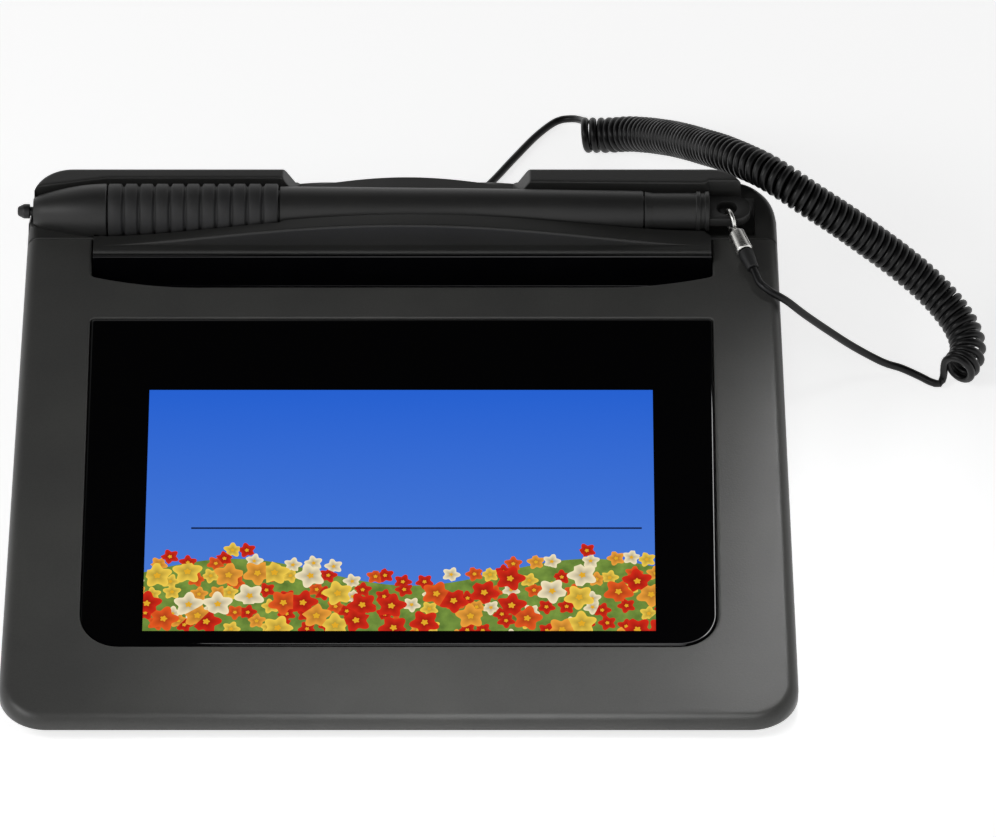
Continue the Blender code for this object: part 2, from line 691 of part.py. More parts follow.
def trough_profile():
    """The pen's outline with a clearance, from the nib's end to past its tail."""
    slack = TROUGH_CLEARANCE
    return [
        (CONE_FRONT_RADIUS + slack, -HALF_WIDTH - OVERRUN),
        (CONE_FRONT_RADIUS + slack, CONE_FRONT),
        (GRIP_RADIUS + slack, CONE_REAR),
        (GRIP_RADIUS + slack, GRIP_REAR + FIT),
        (BARREL_FRONT_RADIUS + slack, GRIP_REAR + FIT + RIB_GROOVE_WIDTH),
        (BARREL_REAR_RADIUS + slack, BARREL_REAR),
        (CAP_RING_RADIUS + slack, CAP_END - CAP_RING_WIDTH),
        (EYE_ROOM_RADIUS, CAP_END),
        (EYE_ROOM_RADIUS, TROUGH_END),
    ]


def arch_outline():
    """The front wall of the trough seen from the front: an arch above the ledge."""
    points = []
    for step in range(-ARCH_STEPS // 2, ARCH_STEPS // 2 + 1):
        share = 2 * step / ARCH_STEPS
        points.append((ARCH_HALF * share, LEDGE_TOP + ARCH_RISE * (1 - share * share) ** ARCH_POWER_SHARE))
    return [(-ARCH_HALF, LEDGE_TOP - OVERRUN)] + points + [(ARCH_HALF, LEDGE_TOP - OVERRUN)]


def notch_outline():
    """The thumb notch seen from the front: sloping ends and a gently arched bottom."""
    left = NOTCH_LEFT + NOTCH_SLOPE
    right = NOTCH_RIGHT - NOTCH_SLOPE
    points = [(NOTCH_LEFT, RIDGE_TOP)]
    for step in range(NOTCH_STEPS + 1):
        share = step / NOTCH_STEPS
        height = NOTCH_END_HEIGHT + (NOTCH_MIDDLE_HEIGHT - NOTCH_END_HEIGHT) * math.sin(math.pi * share)
        points.append((left + (right - left) * share, height))
    top = RIDGE_TOP + OVERRUN
    return points + [(NOTCH_RIGHT, RIDGE_TOP), (NOTCH_RIGHT, top), (NOTCH_LEFT, top)]


def upright(name, outline, front, back, finish=None):
    """An outline in X and Z, thickened from front to back."""
    stand = Matrix.Translation((0, back, 0)) @ Matrix.Rotation(math.radians(90), 4, "X")
    return plate(name, outline, 0, back - front, finish, stand)


def make_pen_tray():
    """The rear cap: ledge, arched wall, trough and back ridge in one moulding."""
    bottom = SHELF_HEIGHT + FIT
    made = soften(wedge("pen_tray", case_outline(0), SKIRT_HEIGHT, finish=CHARCOAL), EDGE_ROLL)
    low = (-HALF_WIDTH - OVERRUN, FRONT + SEAM + FIT, bottom)
    high = (HALF_WIDTH + OVERRUN, FRONT + DEPTH + OVERRUN, RIDGE_TOP)
    boolean(made, box("rear_cap_room", low, high), "INTERSECT")
    ledge_half = SLOT_HALF - FIT
    ledge = box(
        "ledge", (-ledge_half, FRONT + LEDGE_FRONT, bottom), (ledge_half, FRONT + PEN_Y - OVERRUN, LEDGE_TOP)
    )
    boolean(made, ledge, "UNION")
    arch = upright("arched_wall", arch_outline(), FRONT + ARCH_FRONT, FRONT + PEN_Y + OVERLAP)
    boolean(made, arch, "UNION")
    corners = rectangle(RIDGE_LEFT, RIDGE_RIGHT, FRONT + PEN_Y, FRONT + RIDGE_REAR)
    ridge_plan = rounded(corners, [0, 0, RIDGE_RIGHT_CORNER, RIDGE_LEFT_CORNER])
    ridge = soften(plate("ridge", ridge_plan, LEDGE_TOP - OVERRUN, RIDGE_TOP), RIDGE_ROLL)
    boolean(made, ridge, "UNION")
    profile = trough_profile()
    closed = [(0, profile[-1][1])] + profile[::-1] + [(0, profile[0][1])]
    half_step = Matrix.Rotation(math.pi / ROUND_STEPS, 4, "Z")
    boolean(made, turned("trough_round", closed, PEN @ half_step))
    plan = [(x, FRONT + PEN_Y - radius) for radius, x in profile]
    plan = plan + [(x, FRONT + PEN_Y + radius) for radius, x in profile[::-1]]
    boolean(made, plate("trough_mouth", plan, PEN_HEIGHT, RIDGE_TOP + OVERRUN + ARCH_RISE))
    boolean(made, upright("thumb_notch", notch_outline(), FRONT + PEN_Y, FRONT + DEPTH + OVERRUN))
    pocket_low = (-SLOT_HALF + SHELL, FRONT + LEDGE_FRONT + SHELL, bottom - OVERRUN)
    pocket_high = (SLOT_HALF - SHELL, FRONT + DEPTH - SHELL - EDGE_ROLL, bottom + TRAY_POCKET)
    boolean(made, box("tray_pocket", pocket_low, pocket_high))
    return made


def make_recess_strip():
    """The gloss black strip that faces the slot: an upright blade on a narrow foot."""
    blade_rear = FRONT + LEDGE_FRONT - FIT
    blade_front = blade_rear - STRIP_THICK
    foot = blade_front - STRIP_FOOT
    low = SHELF_HEIGHT + FIT
    outline = [
        (foot, low), (blade_rear, low), (blade_rear, STRIP_TOP), (blade_front, STRIP_TOP),
        (blade_front, low + STRIP_THICK), (foot, low + STRIP_THICK),
    ]
    half = SLOT_HALF - FIT
    along = Matrix(((0, 0, 1, 0), (1, 0, 0, 0), (0, 1, 0, 0), (0, 0, 0, 1)))
    return plate("recess_strip", outline, -half, half, GLOSS_BLACK, along)


def layer(name, half, start, end, top, thick, finish):
    """One flat layer of the display, at a depth under the panel's face."""
    return box(name, (-half, start, -top - thick), (half, end, -top), finish, PANEL)


def make_display():
    """The layers under the cover glass, from the gasket to the shield."""
    glass_low = -GLASS_SET_DOWN - GLASS_THICK
    glass = plate("cover_glass", glass_outline(0), glass_low, -GLASS_SET_DOWN, GLOSS_BLACK, PANEL)
    gasket_top = stack_below(GLASS_THICK)
    gasket = plate("glass_gasket", glass_outline(-FIT), -gasket_top - GASKET_THICK, -gasket_top, FOAM, PANEL)
    hole = rectangle(-OPENING_HALF, OPENING_HALF, OPENING_START, OPENING_END)
    hole = rounded(hole, [GLASS_FRONT_CORNER, GLASS_FRONT_CORNER, GLASS_REAR_CORNER, GLASS_REAR_CORNER])
    boolean(gasket, plate("gasket_hole", hole, -SEAT_DEPTH - OVERRUN, OVERRUN, matrix=PANEL))
    half = SCREEN_WIDTH / 2 + CELL_BORDER
    start = SCREEN_START - CELL_BORDER
    end = SCREEN_START + SCREEN_HEIGHT + CELL_BORDER
    cell_top = stack_below(GLASS_THICK)
    light_top = stack_below(GLASS_THICK, CELL_THICK)
    layer("lcd_panel", half, start, end, cell_top, CELL_THICK, DISPLAY)
    layer("backlight", half, start, end, light_top, BACKLIGHT_THICK, DIFFUSER)
    room = FIT + FRAME_WALL
    floor_top = stack_below(GLASS_THICK, CELL_THICK, BACKLIGHT_THICK)
    frame_thick = floor_top + FRAME_WALL - cell_top
    frame = layer("lcd_frame", half + room, start - room, end + room, cell_top, frame_thick, ZINC)
    low = (-half - FIT, start - FIT, -floor_top)
    boolean(frame, box("lcd_frame_inside", low, (half + FIT, end + FIT, 0), matrix=PANEL))
    sensor_top = stack_below(GLASS_THICK, CELL_THICK, BACKLIGHT_THICK, FRAME_WALL)
    sensor_start = SCREEN_START + SENSOR_MARGIN
    sensor_half = SCREEN_WIDTH / 2
    sensor_end = SCREEN_START + SCREEN_HEIGHT
    layer("sensor_board", sensor_half, sensor_start, sensor_end, sensor_top, SENSOR_THICK, BOARD_GREEN)
    shield_top = sensor_top + SENSOR_THICK + FIT
    layer("shield_plate", sensor_half, sensor_start, sensor_end, shield_top, SHIELD_THICK, ZINC)
    return glass


def make_boards():
    """The main board with its chips, screws, display ribbon and the data inlet."""
    front = FRONT + BOARD_FRONT
    back = FRONT + BOARD_REAR
    top = BOARD_BOTTOM + BOARD_THICK
    board_low = (-BOARD_HALF_WIDTH, front, BOARD_BOTTOM)
    board = box("main_board", board_low, (BOARD_HALF_WIDTH, back, top), BOARD_GREEN)
    for index, (x, y) in enumerate(board_holes()):
        hole_radius = BOARD_SCREW_RADIUS + FIT
        hole = peg("board_hole_%d" % index, (x, y), hole_radius, BOARD_BOTTOM - OVERRUN, top + OVERRUN)
        boolean(board, hole)
        head = top + FIT
        make_screw(
            "board_screw_%d" % (index + 1), (x, y), head + BOARD_SCREW_HEAD, head, BOARD_SCREW_HEAD_RADIUS,
            top - BOARD_SCREW_LENGTH, BOARD_SCREW_RADIUS,
        )
    half = CONTROLLER_SIDE / 2
    middle = FRONT + CONTROLLER_Y
    low = top + FIT
    chip_high = (half, middle + half, low + CONTROLLER_HEIGHT)
    box("controller_chip", (-half, middle - half, low), chip_high, CHIP_BLACK)
    box(
        "memory_chip",
        (MEMORY_X - MEMORY_WIDTH / 2, middle - MEMORY_LENGTH / 2, low),
        (MEMORY_X + MEMORY_WIDTH / 2, middle + MEMORY_LENGTH / 2, low + MEMORY_HEIGHT),
        CHIP_BLACK,
    )
    socket_front = FRONT + SOCKET_REAR - SOCKET_LENGTH
    socket_rear = FRONT + SOCKET_REAR
    left = SOCKET_X - SOCKET_WIDTH / 2
    right = SOCKET_X + SOCKET_WIDTH / 2
    high = SOCKET_BOTTOM + SOCKET_HEIGHT
    socket = box("usb_socket", (left, socket_front, SOCKET_BOTTOM), (right, socket_rear, high), ZINC)
    mouth_low = (left + SOCKET_WALL, socket_front + SOCKET_TONGUE, SOCKET_BOTTOM + SOCKET_WALL)
    mouth_high = (right - SOCKET_WALL, socket_rear + OVERRUN, high - SOCKET_WALL)
    mouth = box("socket_mouth", mouth_low, mouth_high)
    tongue_half = SOCKET_TONGUE / 2
    waist = (SOCKET_BOTTOM + high) / 2
    tongue = box(
        "socket_tongue_gap",
        (left + 2 * SOCKET_TONGUE, socket_front, waist - tongue_half),
        (right - 2 * SOCKET_TONGUE, socket_rear - SOCKET_TONGUE, waist + tongue_half),
    )
    boolean(mouth, tongue)
    boolean(socket, mouth)
    return board


def make_ribbon():
    """The flat cable: out of the display's rear edge, down and forward again onto the main board."""
    frame_end = SCREEN_START + SCREEN_HEIGHT + CELL_BORDER + 2 * FIT + FRAME_WALL
    depth = stack_below(GLASS_THICK, CELL_THICK) + BACKLIGHT_THICK / 2
    start = PANEL @ Vector((0, frame_end, -depth))
    low = BOARD_BOTTOM + BOARD_THICK + FIT + RIBBON_THICK
    reach = RIBBON_HALF_WIDTH / 3
    path = [
        (start.y, start.z),
        (start.y + reach, start.z),
        (start.y + reach + reach / 2, start.z - reach / 2),
        (start.y + reach + reach / 2, low + reach / 2),
        (start.y + reach, low),
        (start.y + reach - 2 * reach, low),
    ]
    work = bmesh.new()
    rows = [
        [work.verts.new((side * RIBBON_HALF_WIDTH, y, z)) for y, z in path] for side in (-1, 1)
    ]
    for index in range(len(path) - 1):
        work.faces.new((rows[0][index], rows[1][index], rows[1][index + 1], rows[0][index + 1]))
    mesh = bpy.data.meshes.new("display_ribbon")
    work.to_mesh(mesh)
    work.free()
    made = placed("display_ribbon", mesh, WORLD, FLEX_AMBER)
    thicken = made.modifiers.new("thickness", "SOLIDIFY")
    thicken.thickness = RIBBON_THICK
    thicken.offset = 0
    return made


def make_screw(name, place, head_top, head_bottom, head_radius, shank_end, radius):
    """A pan-head screw standing on its shank, or hanging from it when its head is below."""
    at = Matrix.Translation((place[0], place[1], 0))
    if shank_end < head_bottom:
        profile = [
            (0, head_top), (head_radius, head_top), (head_radius, head_bottom), (radius, head_bottom),
            (radius, shank_end), (0, shank_end),
        ]
    else:
        profile = [
            (0, shank_end), (radius, shank_end), (radius, head_top), (head_radius, head_top),
            (head_radius, head_bottom), (0, head_bottom),
        ]
    return turned(name, profile, at, ZINC, steps=SCREW_STEPS)


def make_feet_and_case_screws():
    """Rubber feet in their recesses, and the screws that hold the two shells."""
    for name, place in foot_places().items():
        foot = peg("foot_" + name, place, FOOT_RADIUS, 0, FOOT_THICK, RUBBER, steps=ROUND_STEPS)
        eased(foot, FOOT_BEVEL, 1)
    for name, (x, y, length) in CASE_SCREWS.items():
        make_screw(
            "case_screw_" + name, (x, y), HEAD_TOP, BASE_BOTTOM, CASE_SCREW_HEAD_RADIUS, HEAD_TOP + length,
            CASE_SCREW_RADIUS,
        )


def make_grip():
    """The ribbed rubber sleeve: evenly spaced grooves between flat ribs."""
    pitch = (GRIP_REAR - GRIP_FRONT) / RIB_COUNT
    profile = [(GRIP_RADIUS, GRIP_REAR)]
    for index in range(RIB_COUNT - 1):
        groove = GRIP_REAR - pitch * (index + 1)
        profile += [
            (GRIP_RADIUS, groove + RIB_GROOVE_WIDTH / 2),
            (GRIP_RADIUS - RIB_GROOVE_DEPTH, groove),
            (GRIP_RADIUS, groove - RIB_GROOVE_WIDTH / 2),
        ]
    profile += [(GRIP_RADIUS, GRIP_FRONT), (GRIP_INNER_RADIUS, GRIP_FRONT), (GRIP_INNER_RADIUS, GRIP_REAR)]
    return turned("grip_sleeve", profile, PEN, RUBBER, ring=True)


def make_pen():
    """Barrel, cone, cap and electronics of the pen, all turned about its axis."""
    shoulder = GRIP_REAR + FIT
    turned("pen_barrel", [
        (BARREL_REAR_RADIUS, BARREL_REAR), (BARREL_FRONT_RADIUS, shoulder), (BARREL_CORE_RADIUS, shoulder),
        (BARREL_CORE_RADIUS, GRIP_FRONT), (BARREL_BORE_RADIUS, GRIP_FRONT), (BARREL_BORE_RADIUS, BARREL_REAR),
    ], PEN, CHARCOAL, ring=True)
    make_grip()
    stem_bore = STEM_RADIUS + FIT
    spigot_rear = CONE_REAR + SPIGOT_LENGTH
    waist = (CONE_FRONT + CONE_REAR) / 2
    waist_radius = (CONE_FRONT_RADIUS + GRIP_RADIUS) / 2 + FIT
    turned("nose_cone", [
        (SPIGOT_RADIUS, spigot_rear), (SPIGOT_RADIUS, CONE_REAR), (GRIP_RADIUS, CONE_REAR),
        (waist_radius, waist), (CONE_FRONT_RADIUS, CONE_FRONT), (stem_bore, CONE_FRONT),
        (stem_bore, CONE_CHAMBER), (CONE_CHAMBER_RADIUS, CONE_CHAMBER), (CONE_CHAMBER_RADIUS, spigot_rear),
    ], PEN, DARK_PLASTIC, ring=True)
    turned("nib", [
        (0, STEM_END), (STEM_RADIUS, STEM_END), (STEM_RADIUS, NIB_SHOULDER), (NIB_RADIUS, NIB_SHOULDER),
        (NIB_RADIUS, NIB_TIP + NIB_ROUND * 2), (NIB_RADIUS - NIB_ROUND / 2, NIB_TIP + NIB_ROUND / 2),
        (0, NIB_TIP),
    ], PEN, DARK_PLASTIC)
    ferrite_outer = stem_bore + FERRITE_WALL
    ferrite_front = CONE_CHAMBER + FIT
    turned("ferrite_core", [
        (ferrite_outer, ferrite_front + FERRITE_LENGTH), (ferrite_outer, ferrite_front),
        (stem_bore, ferrite_front), (stem_bore, ferrite_front + FERRITE_LENGTH),
    ], PEN, FERRITE, ring=True)
    coil_inner = ferrite_outer + FIT
    coil_front = ferrite_front + (FERRITE_LENGTH - COIL_LENGTH) / 2
    turned("sensing_coil", [
        (coil_inner + COIL_WALL, coil_front + COIL_LENGTH), (coil_inner + COIL_WALL, coil_front),
        (coil_inner, coil_front), (coil_inner, coil_front + COIL_LENGTH),
    ], PEN, COPPER, ring=True)
    switch_front = STEM_END + SWITCH_GAP
    switch_radius = CONE_CHAMBER_RADIUS - FIT
    turned("tip_switch", [
        (0, switch_front + SWITCH_LENGTH), (switch_radius, switch_front + SWITCH_LENGTH),
        (switch_radius, switch_front), (0, switch_front),
    ], PEN, CHIP_BLACK)
    board_front = spigot_rear + FIT
    box(
        "pen_board",
        (-PEN_BOARD_THICK / 2, -PEN_BOARD_HALF_WIDTH, board_front),
        (PEN_BOARD_THICK / 2, PEN_BOARD_HALF_WIDTH, PEN_BOARD_REAR),
        BOARD_GREEN,
        PEN,
    )
    make_tail_cap()


def make_tail_cap():
    """The plug in the barrel's tail, with two rings and a flat tab that has the eyelet."""
    rear = BARREL_REAR + FIT
    ring = CAP_END - CAP_RING_PITCH - CAP_RING_WIDTH
    tab_start = CAP_END - CAP_RING_WIDTH
    spigot = BARREL_BORE_RADIUS - FIT
    cap = turned("tail_cap", [
        (0, CAP_END), (CAP_RING_RADIUS, CAP_END), (CAP_RING_RADIUS, CAP_END - CAP_RING_WIDTH),
        (CAP_RADIUS, CAP_END - CAP_RING_WIDTH), (CAP_RADIUS, ring + CAP_RING_WIDTH),
        (CAP_RING_RADIUS, ring + CAP_RING_WIDTH), (CAP_RING_RADIUS, ring), (CAP_RADIUS, ring),
        (CAP_RADIUS, rear), (spigot, rear), (spigot, BARREL_REAR - CAP_SPIGOT_LENGTH),
        (0, BARREL_REAR - CAP_SPIGOT_LENGTH),
    ], PEN, CHARCOAL)
    corners = rectangle(
        tab_start, TAB_END, FRONT + PEN_Y - TAB_HALF_WIDTH, FRONT + PEN_Y + TAB_HALF_WIDTH
    )
    round_end = TAB_HALF_WIDTH - FIT
    tab = plate(
        "eyelet_tab",
        rounded(corners, [0, round_end, round_end, 0]),
        PEN_HEIGHT - TAB_THICK / 2,
        PEN_HEIGHT + TAB_THICK / 2,
    )
    boolean(cap, tab, "UNION")
    boolean(cap, peg(
        "eyelet", (EYELET_X, FRONT + PEN_Y), EYELET_RADIUS, PEN_HEIGHT - TAB_THICK, PEN_HEIGHT + TAB_THICK
    ))
    return cap


def make_swivel():
    """The steel eye through the eyelet, the barrel that turns on its shank, and the lead's rubber boot."""
    root = Vector((EYELET_X, FRONT + PEN_Y - EYE_BACK, PEN_HEIGHT))
    axis = Matrix.Translation(root) @ SWIVEL_WAY.to_track_quat("Z", "Y").to_matrix().to_4x4()
    side = SWIVEL_WAY.cross(Vector((0, 0, 1))).normalized()
    above = side.cross(SWIVEL_WAY).normalized()
    points = []
    for step in range(SCREW_STEPS):
        turn = 2 * math.pi * step / SCREW_STEPS
        points.append(
            root + SWIVEL_WAY * EYE_RADIUS * (1 - math.cos(turn)) + above * EYE_RADIUS * math.sin(turn)
        )
    eye = tube("swivel_eye", points, EYE_WIRE / 2, 2, STEEL, closed=True)
    shank_start = 2 * EYE_RADIUS - EYE_WIRE / 4
    chamber_start = SWIVEL_START + SWIVEL_LIP
    chamber_end = chamber_start + SWIVEL_CHAMBER
    head_end = chamber_end - FIT
    head_start = head_end - SHANK_HEAD_THICK
    shank = turned("shank", [
        (0, head_end), (SHANK_HEAD_RADIUS, head_end), (SHANK_HEAD_RADIUS, head_start),
        (SHANK_RADIUS, head_start), (SHANK_RADIUS, shank_start), (0, shank_start),
    ], axis, steps=SCREW_STEPS)
    boolean(eye, shank, "UNION")
    end = SWIVEL_START + SWIVEL_LENGTH
    turned("swivel_barrel", [
        (0, end), (SWIVEL_RADIUS - SWIVEL_CHAMFER, end), (SWIVEL_RADIUS, end - SWIVEL_CHAMFER),
        (SWIVEL_RADIUS, SWIVEL_START + SWIVEL_CHAMFER), (SWIVEL_RADIUS - SWIVEL_CHAMFER, SWIVEL_START),
        (SWIVEL_LIP_RADIUS, SWIVEL_START), (SWIVEL_LIP_RADIUS, chamber_start),
        (SWIVEL_CHAMBER_RADIUS, chamber_start), (SWIVEL_CHAMBER_RADIUS, chamber_end), (0, chamber_end),
    ], axis, STEEL, steps=SCREW_STEPS)
    boot = end + FIT
    turned("cord_boot", [
        (0, boot + BOOT_LENGTH), (BOOT_END_RADIUS, boot + BOOT_LENGTH), (BOOT_RADIUS, boot), (0, boot),
    ], axis, RUBBER, steps=SCREW_STEPS)
    return root + SWIVEL_WAY * (boot + BOOT_LENGTH + FIT)


def make_gland():
    """The rubber gland in the back wall, which tapers down to the tether."""
    turned("tether_gland", [
        (0, FIT + GLAND_SLEEVE), (GLAND_END_RADIUS, FIT + GLAND_SLEEVE), (GLAND_SLEEVE_RADIUS, FIT),
        (GLAND_NECK_RADIUS, FIT), (GLAND_NECK_RADIUS, -SHELL - FIT), (GLAND_FLANGE_RADIUS, -SHELL - FIT),
        (GLAND_FLANGE_RADIUS, -SHELL - FIT - GLAND_FLANGE), (0, -SHELL - FIT - GLAND_FLANGE),
    ], GLAND, RUBBER, steps=SCREW_STEPS)
    return Vector((GLAND_X, FRONT + DEPTH + GLAND_SLEEVE + 2 * FIT, GLAND_HEIGHT))


def smooth(points, step):
    """Points about a step apart on the smooth curve through the route's own points."""
    ends = [2 * points[0] - points[1]] + points + [2 * points[-1] - points[-2]]
    fine = []
    for before, start, end, after in zip(ends, ends[1:], ends[2:], ends[3:]):
        count = max(2, math.ceil((end - start).length / step))
        for index in range(count):
            t = index / count
            fine.append(
                0.5 * (
                    2 * start + (end - before) * t + (2 * before - 5 * start + 4 * end - after) * t * t
                    + (3 * start - before - 3 * end + after) * t * t * t
                )
            )
    return fine + [points[-1]]


def route(points):
    """A route's points as places in the model."""
    return [Vector((HALF_WIDTH + x * MM, FRONT + DEPTH + y * MM, z * MM)) for x, y, z in points]


def curls(line):
    """The curly part: a helix about its middle line whose curls keep their spacing inside each bend. It
    starts and ends at shares of a turn from its top, so that both leads run down to the table."""
    steps = [(end - start).length for start, end in zip(line, line[1:])]
    ways = [(end - start).normalized() for start, end in zip(line, line[1:])]
    up = Vector((0, 0, 1))
    made = []
    headings = []
    bends = [way.angle(after) / length for way, after, length in zip(ways, ways[1:] + ways[-1:], steps)]
    turns = [0.0]
    for index, length in enumerate(steps):
        bend = max(bends[max(index - BEND_REACH, 0):index + BEND_REACH + 1])
        turns.append(turns[-1] + length * (1 - CURL_RADIUS * bend) / CURL_PITCH)
    rest = CURL_END_SHARE - CURL_START_SHARE
    total = round(turns[-1] - rest) + rest
    turns = [value * total / turns[-1] for value in turns]
    count = round(total * CURL_POINTS)
    for number in range(count + 1):
        want = number / CURL_POINTS
        index = max(i for i, value in enumerate(turns[:-1]) if value <= want + WELD)
        share = (want - turns[index]) / (turns[index + 1] - turns[index])
        centre = line[index].lerp(line[index + 1], min(share, 1))
        before = ways[max(index - 1, 0)]
        way = before.lerp(ways[index], 0.5 + share / 2).normalized()
        side = way.cross(up).normalized()
        top = side.cross(way).normalized()
        angle = 2 * math.pi * (CURL_START_SHARE + want)
        made.append(centre + CURL_RADIUS * (math.cos(angle) * top + math.sin(angle) * side))
        around = 2 * math.pi * CURL_RADIUS * (math.cos(angle) * side - math.sin(angle) * top)
        headings.append((around + CURL_PITCH * way).normalized())
    return made, -headings[0], headings[-1]


def least_gap(points, skip):
    """The least distance between the tube's surface and itself, away from a point's own neighbours."""
    least = math.inf
    for index, point in enumerate(points):
        for other in points[index + skip:index + 3 * CURL_POINTS]:
            least = min(least, (other - point).length)
    return least - CORD_THICK


def make_tether(gland_end, boot_end):
    """The tether: a lead from the gland, the curls, and a lead up to the pen's swivel."""
    middle = smooth(route(CURL_ROUTE), CURL_PITCH / 2)
    wound, first, last = curls(middle)
    print("curls:", round(len(wound) / CURL_POINTS, 1), "least gap to itself, mm:",
          round(least_gap(wound, CURL_POINTS - 2) / MM, 2))
    run = CORD_THICK
    start = wound[0] + first * run
    end = wound[-1] + last * run
    tube("tether_coil", [start] + wound + [end], CORD_THICK / 2, 1, CORD_BLACK)
    away = Vector((0, 1, 0))
    pad_ends = [gland_end, gland_end + away * CORD_THICK * 2] + route(PAD_LEAD_ROUTE)
    pad_ends += [start + first * (run + FIT), start + first * FIT]
    tube("pad_lead", smooth(pad_ends, LEAD_STEP), CORD_THICK / 2, 2, CORD_BLACK)
    pen_ends = [end + last * FIT, end + last * (run + FIT)] + route(PEN_LEAD_ROUTE)
    pen_ends += [boot_end + SWIVEL_WAY * CORD_THICK, boot_end]
    tube("pen_lead", smooth(pen_ends, LEAD_STEP), CORD_THICK / 2, 2, CORD_BLACK)


make_top_housing()
make_base_housing()
make_pen_tray()
make_recess_strip()
make_display()
make_boards()
make_ribbon()
make_feet_and_case_screws()
make_pen()
make_tether(make_gland(), make_swivel())

for piece in PARTS.objects:
    piece.data.shade_smooth()
    piece.data.set_sharp_from_angle(angle=math.radians(35))
bpy.context.view_layer.update()
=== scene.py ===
import math

import bmesh
import bpy
import numpy as np
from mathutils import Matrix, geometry

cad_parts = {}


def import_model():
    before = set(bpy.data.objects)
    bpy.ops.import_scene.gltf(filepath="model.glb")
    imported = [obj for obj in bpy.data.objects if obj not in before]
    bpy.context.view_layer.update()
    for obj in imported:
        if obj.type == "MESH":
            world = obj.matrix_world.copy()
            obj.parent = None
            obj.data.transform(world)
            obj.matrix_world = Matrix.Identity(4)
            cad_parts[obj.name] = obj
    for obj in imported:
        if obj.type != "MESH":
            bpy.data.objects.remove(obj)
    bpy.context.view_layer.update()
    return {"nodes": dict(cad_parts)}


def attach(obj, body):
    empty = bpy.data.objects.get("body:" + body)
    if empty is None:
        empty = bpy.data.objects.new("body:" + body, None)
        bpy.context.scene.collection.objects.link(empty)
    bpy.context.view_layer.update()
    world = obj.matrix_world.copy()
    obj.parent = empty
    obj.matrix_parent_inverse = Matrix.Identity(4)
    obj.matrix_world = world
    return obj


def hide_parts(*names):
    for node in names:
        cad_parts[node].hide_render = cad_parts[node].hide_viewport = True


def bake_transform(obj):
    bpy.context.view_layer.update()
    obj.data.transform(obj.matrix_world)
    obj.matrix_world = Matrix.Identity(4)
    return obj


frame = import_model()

front_offset = 71.9


# Camera: it stands in front of the pad, nearly two metres off with a long lens, and looks down at 42.5
# degrees, so the case's sides stay almost parallel.
aim = np.array((0.0208, 0.00644, 0.02031))
look_down = math.radians(42.5)
camera = bpy.data.objects.new("camera", bpy.data.cameras.new("camera"))
camera.data.sensor_width = 36
camera.data.lens = 320
camera.location = aim + 1.8958 * np.array((0, -math.cos(look_down), math.sin(look_down)))
camera.rotation_euler = (math.pi / 2 - look_down, 0, 0)
bpy.context.scene.collection.objects.link(camera)
bpy.context.scene.camera = camera
bpy.context.scene.view_settings.view_transform = "Standard"


# Tether: a polyurethane-jacketed cord that leaves the back, runs on the table to its curly part, and
# climbs over the case's right rear corner. The curls are wound on a mandrel and set by heat.
cord_thick = 1.7
curl_radius = 3.2
curl_pitch = 1.72
curl_start = -0.125
curl_end = 0.25
gland_end = np.array((9.0, 150.9, 12.0))
pad_route = [
    (9.0, 158.0, 9.6), (11.0, 164.0, 5.6), (14.5, 170.5, 2.4), (19.0, 177.0, 1.2),
    (24.3, 185.5, 1.15), (29.5, 193.5, 1.15), (34.0, 198.4, 1.2), (37.4, 198.5, 1.9),
    (39.4, 196.8, 3.0),
]
curl_route = [
    (40.3, 189.7, 4.6), (45.6, 189.0, 5.2), (50.3, 186.6, 7.6), (53.9, 183.1, 10.3),
    (56.5, 179.3, 13.2), (61.0, 171.2, 19.1), (65.1, 162.8, 24.8), (69.5, 154.3, 30.3),
    (72.1, 150.1, 32.6), (75.2, 145.9, 34.4), (79.0, 142.1, 35.3), (83.4, 138.8, 34.6),
    (88.0, 136.6, 32.4), (92.5, 135.3, 29.7), (97.0, 134.4, 26.6), (101.3, 133.6, 23.3),
    (105.7, 132.7, 20.0), (110.3, 131.3, 16.6), (114.8, 129.1, 13.4), (118.9, 126.0, 10.4),
    (122.0, 122.1, 7.9), (123.4, 117.9, 6.3), (122.9, 113.7, 5.6), (120.8, 110.2, 5.4),
]
pen_route = [
    (117.2, 110.6, 1.1), (115.3, 111.2, 1.05), (113.0, 112.9, 1.1), (109.0, 114.6, 2.0),
    (104.8, 114.5, 3.9), (98.4, 114.1, 8.7), (92.6, 112.4, 15.0), (87.2, 110.7, 21.3),
    (83.2, 110.2, 25.7), (79.6, 110.8, 27.9), (77.4, 112.8, 28.6),
]
swivel_root = np.array((70.6, 131.8, 31.9))
swivel_way = np.array((0.33, -0.93, -0.15)) / np.linalg.norm((0.33, -0.93, -0.15))


def world(points):
    """Millimetres from the middle of the front edge as the frame's metres."""
    return (np.asarray(points, float) - (0, front_offset, 0)) * 0.001


def unit(vectors):
    """Each vector divided by its length."""
    return vectors / np.linalg.norm(vectors, axis=-1, keepdims=True)


def smooth(points, step):
    """Points about a step apart on the curve through a route's points: each span is the cubic that has,
    at each end, half the way between the two neighbours as its slope."""
    route = np.asarray(points, float)
    ends = np.vstack((2 * route[0] - route[1], route, 2 * route[-1] - route[-2]))
    spans = []
    for before, start, end, after in zip(ends, ends[1:], ends[2:], ends[3:]):
        count = max(2, math.ceil(np.linalg.norm(end - start) / step))
        t = np.arange(count)[:, None] / count
        spans.append(0.5 * (
            2 * start + (end - before) * t + (2 * before - 5 * start + 4 * end - after) * t ** 2
            + (3 * start - before - 3 * end + after) * t ** 3
        ))
    return np.vstack(spans + [route[-1:]])


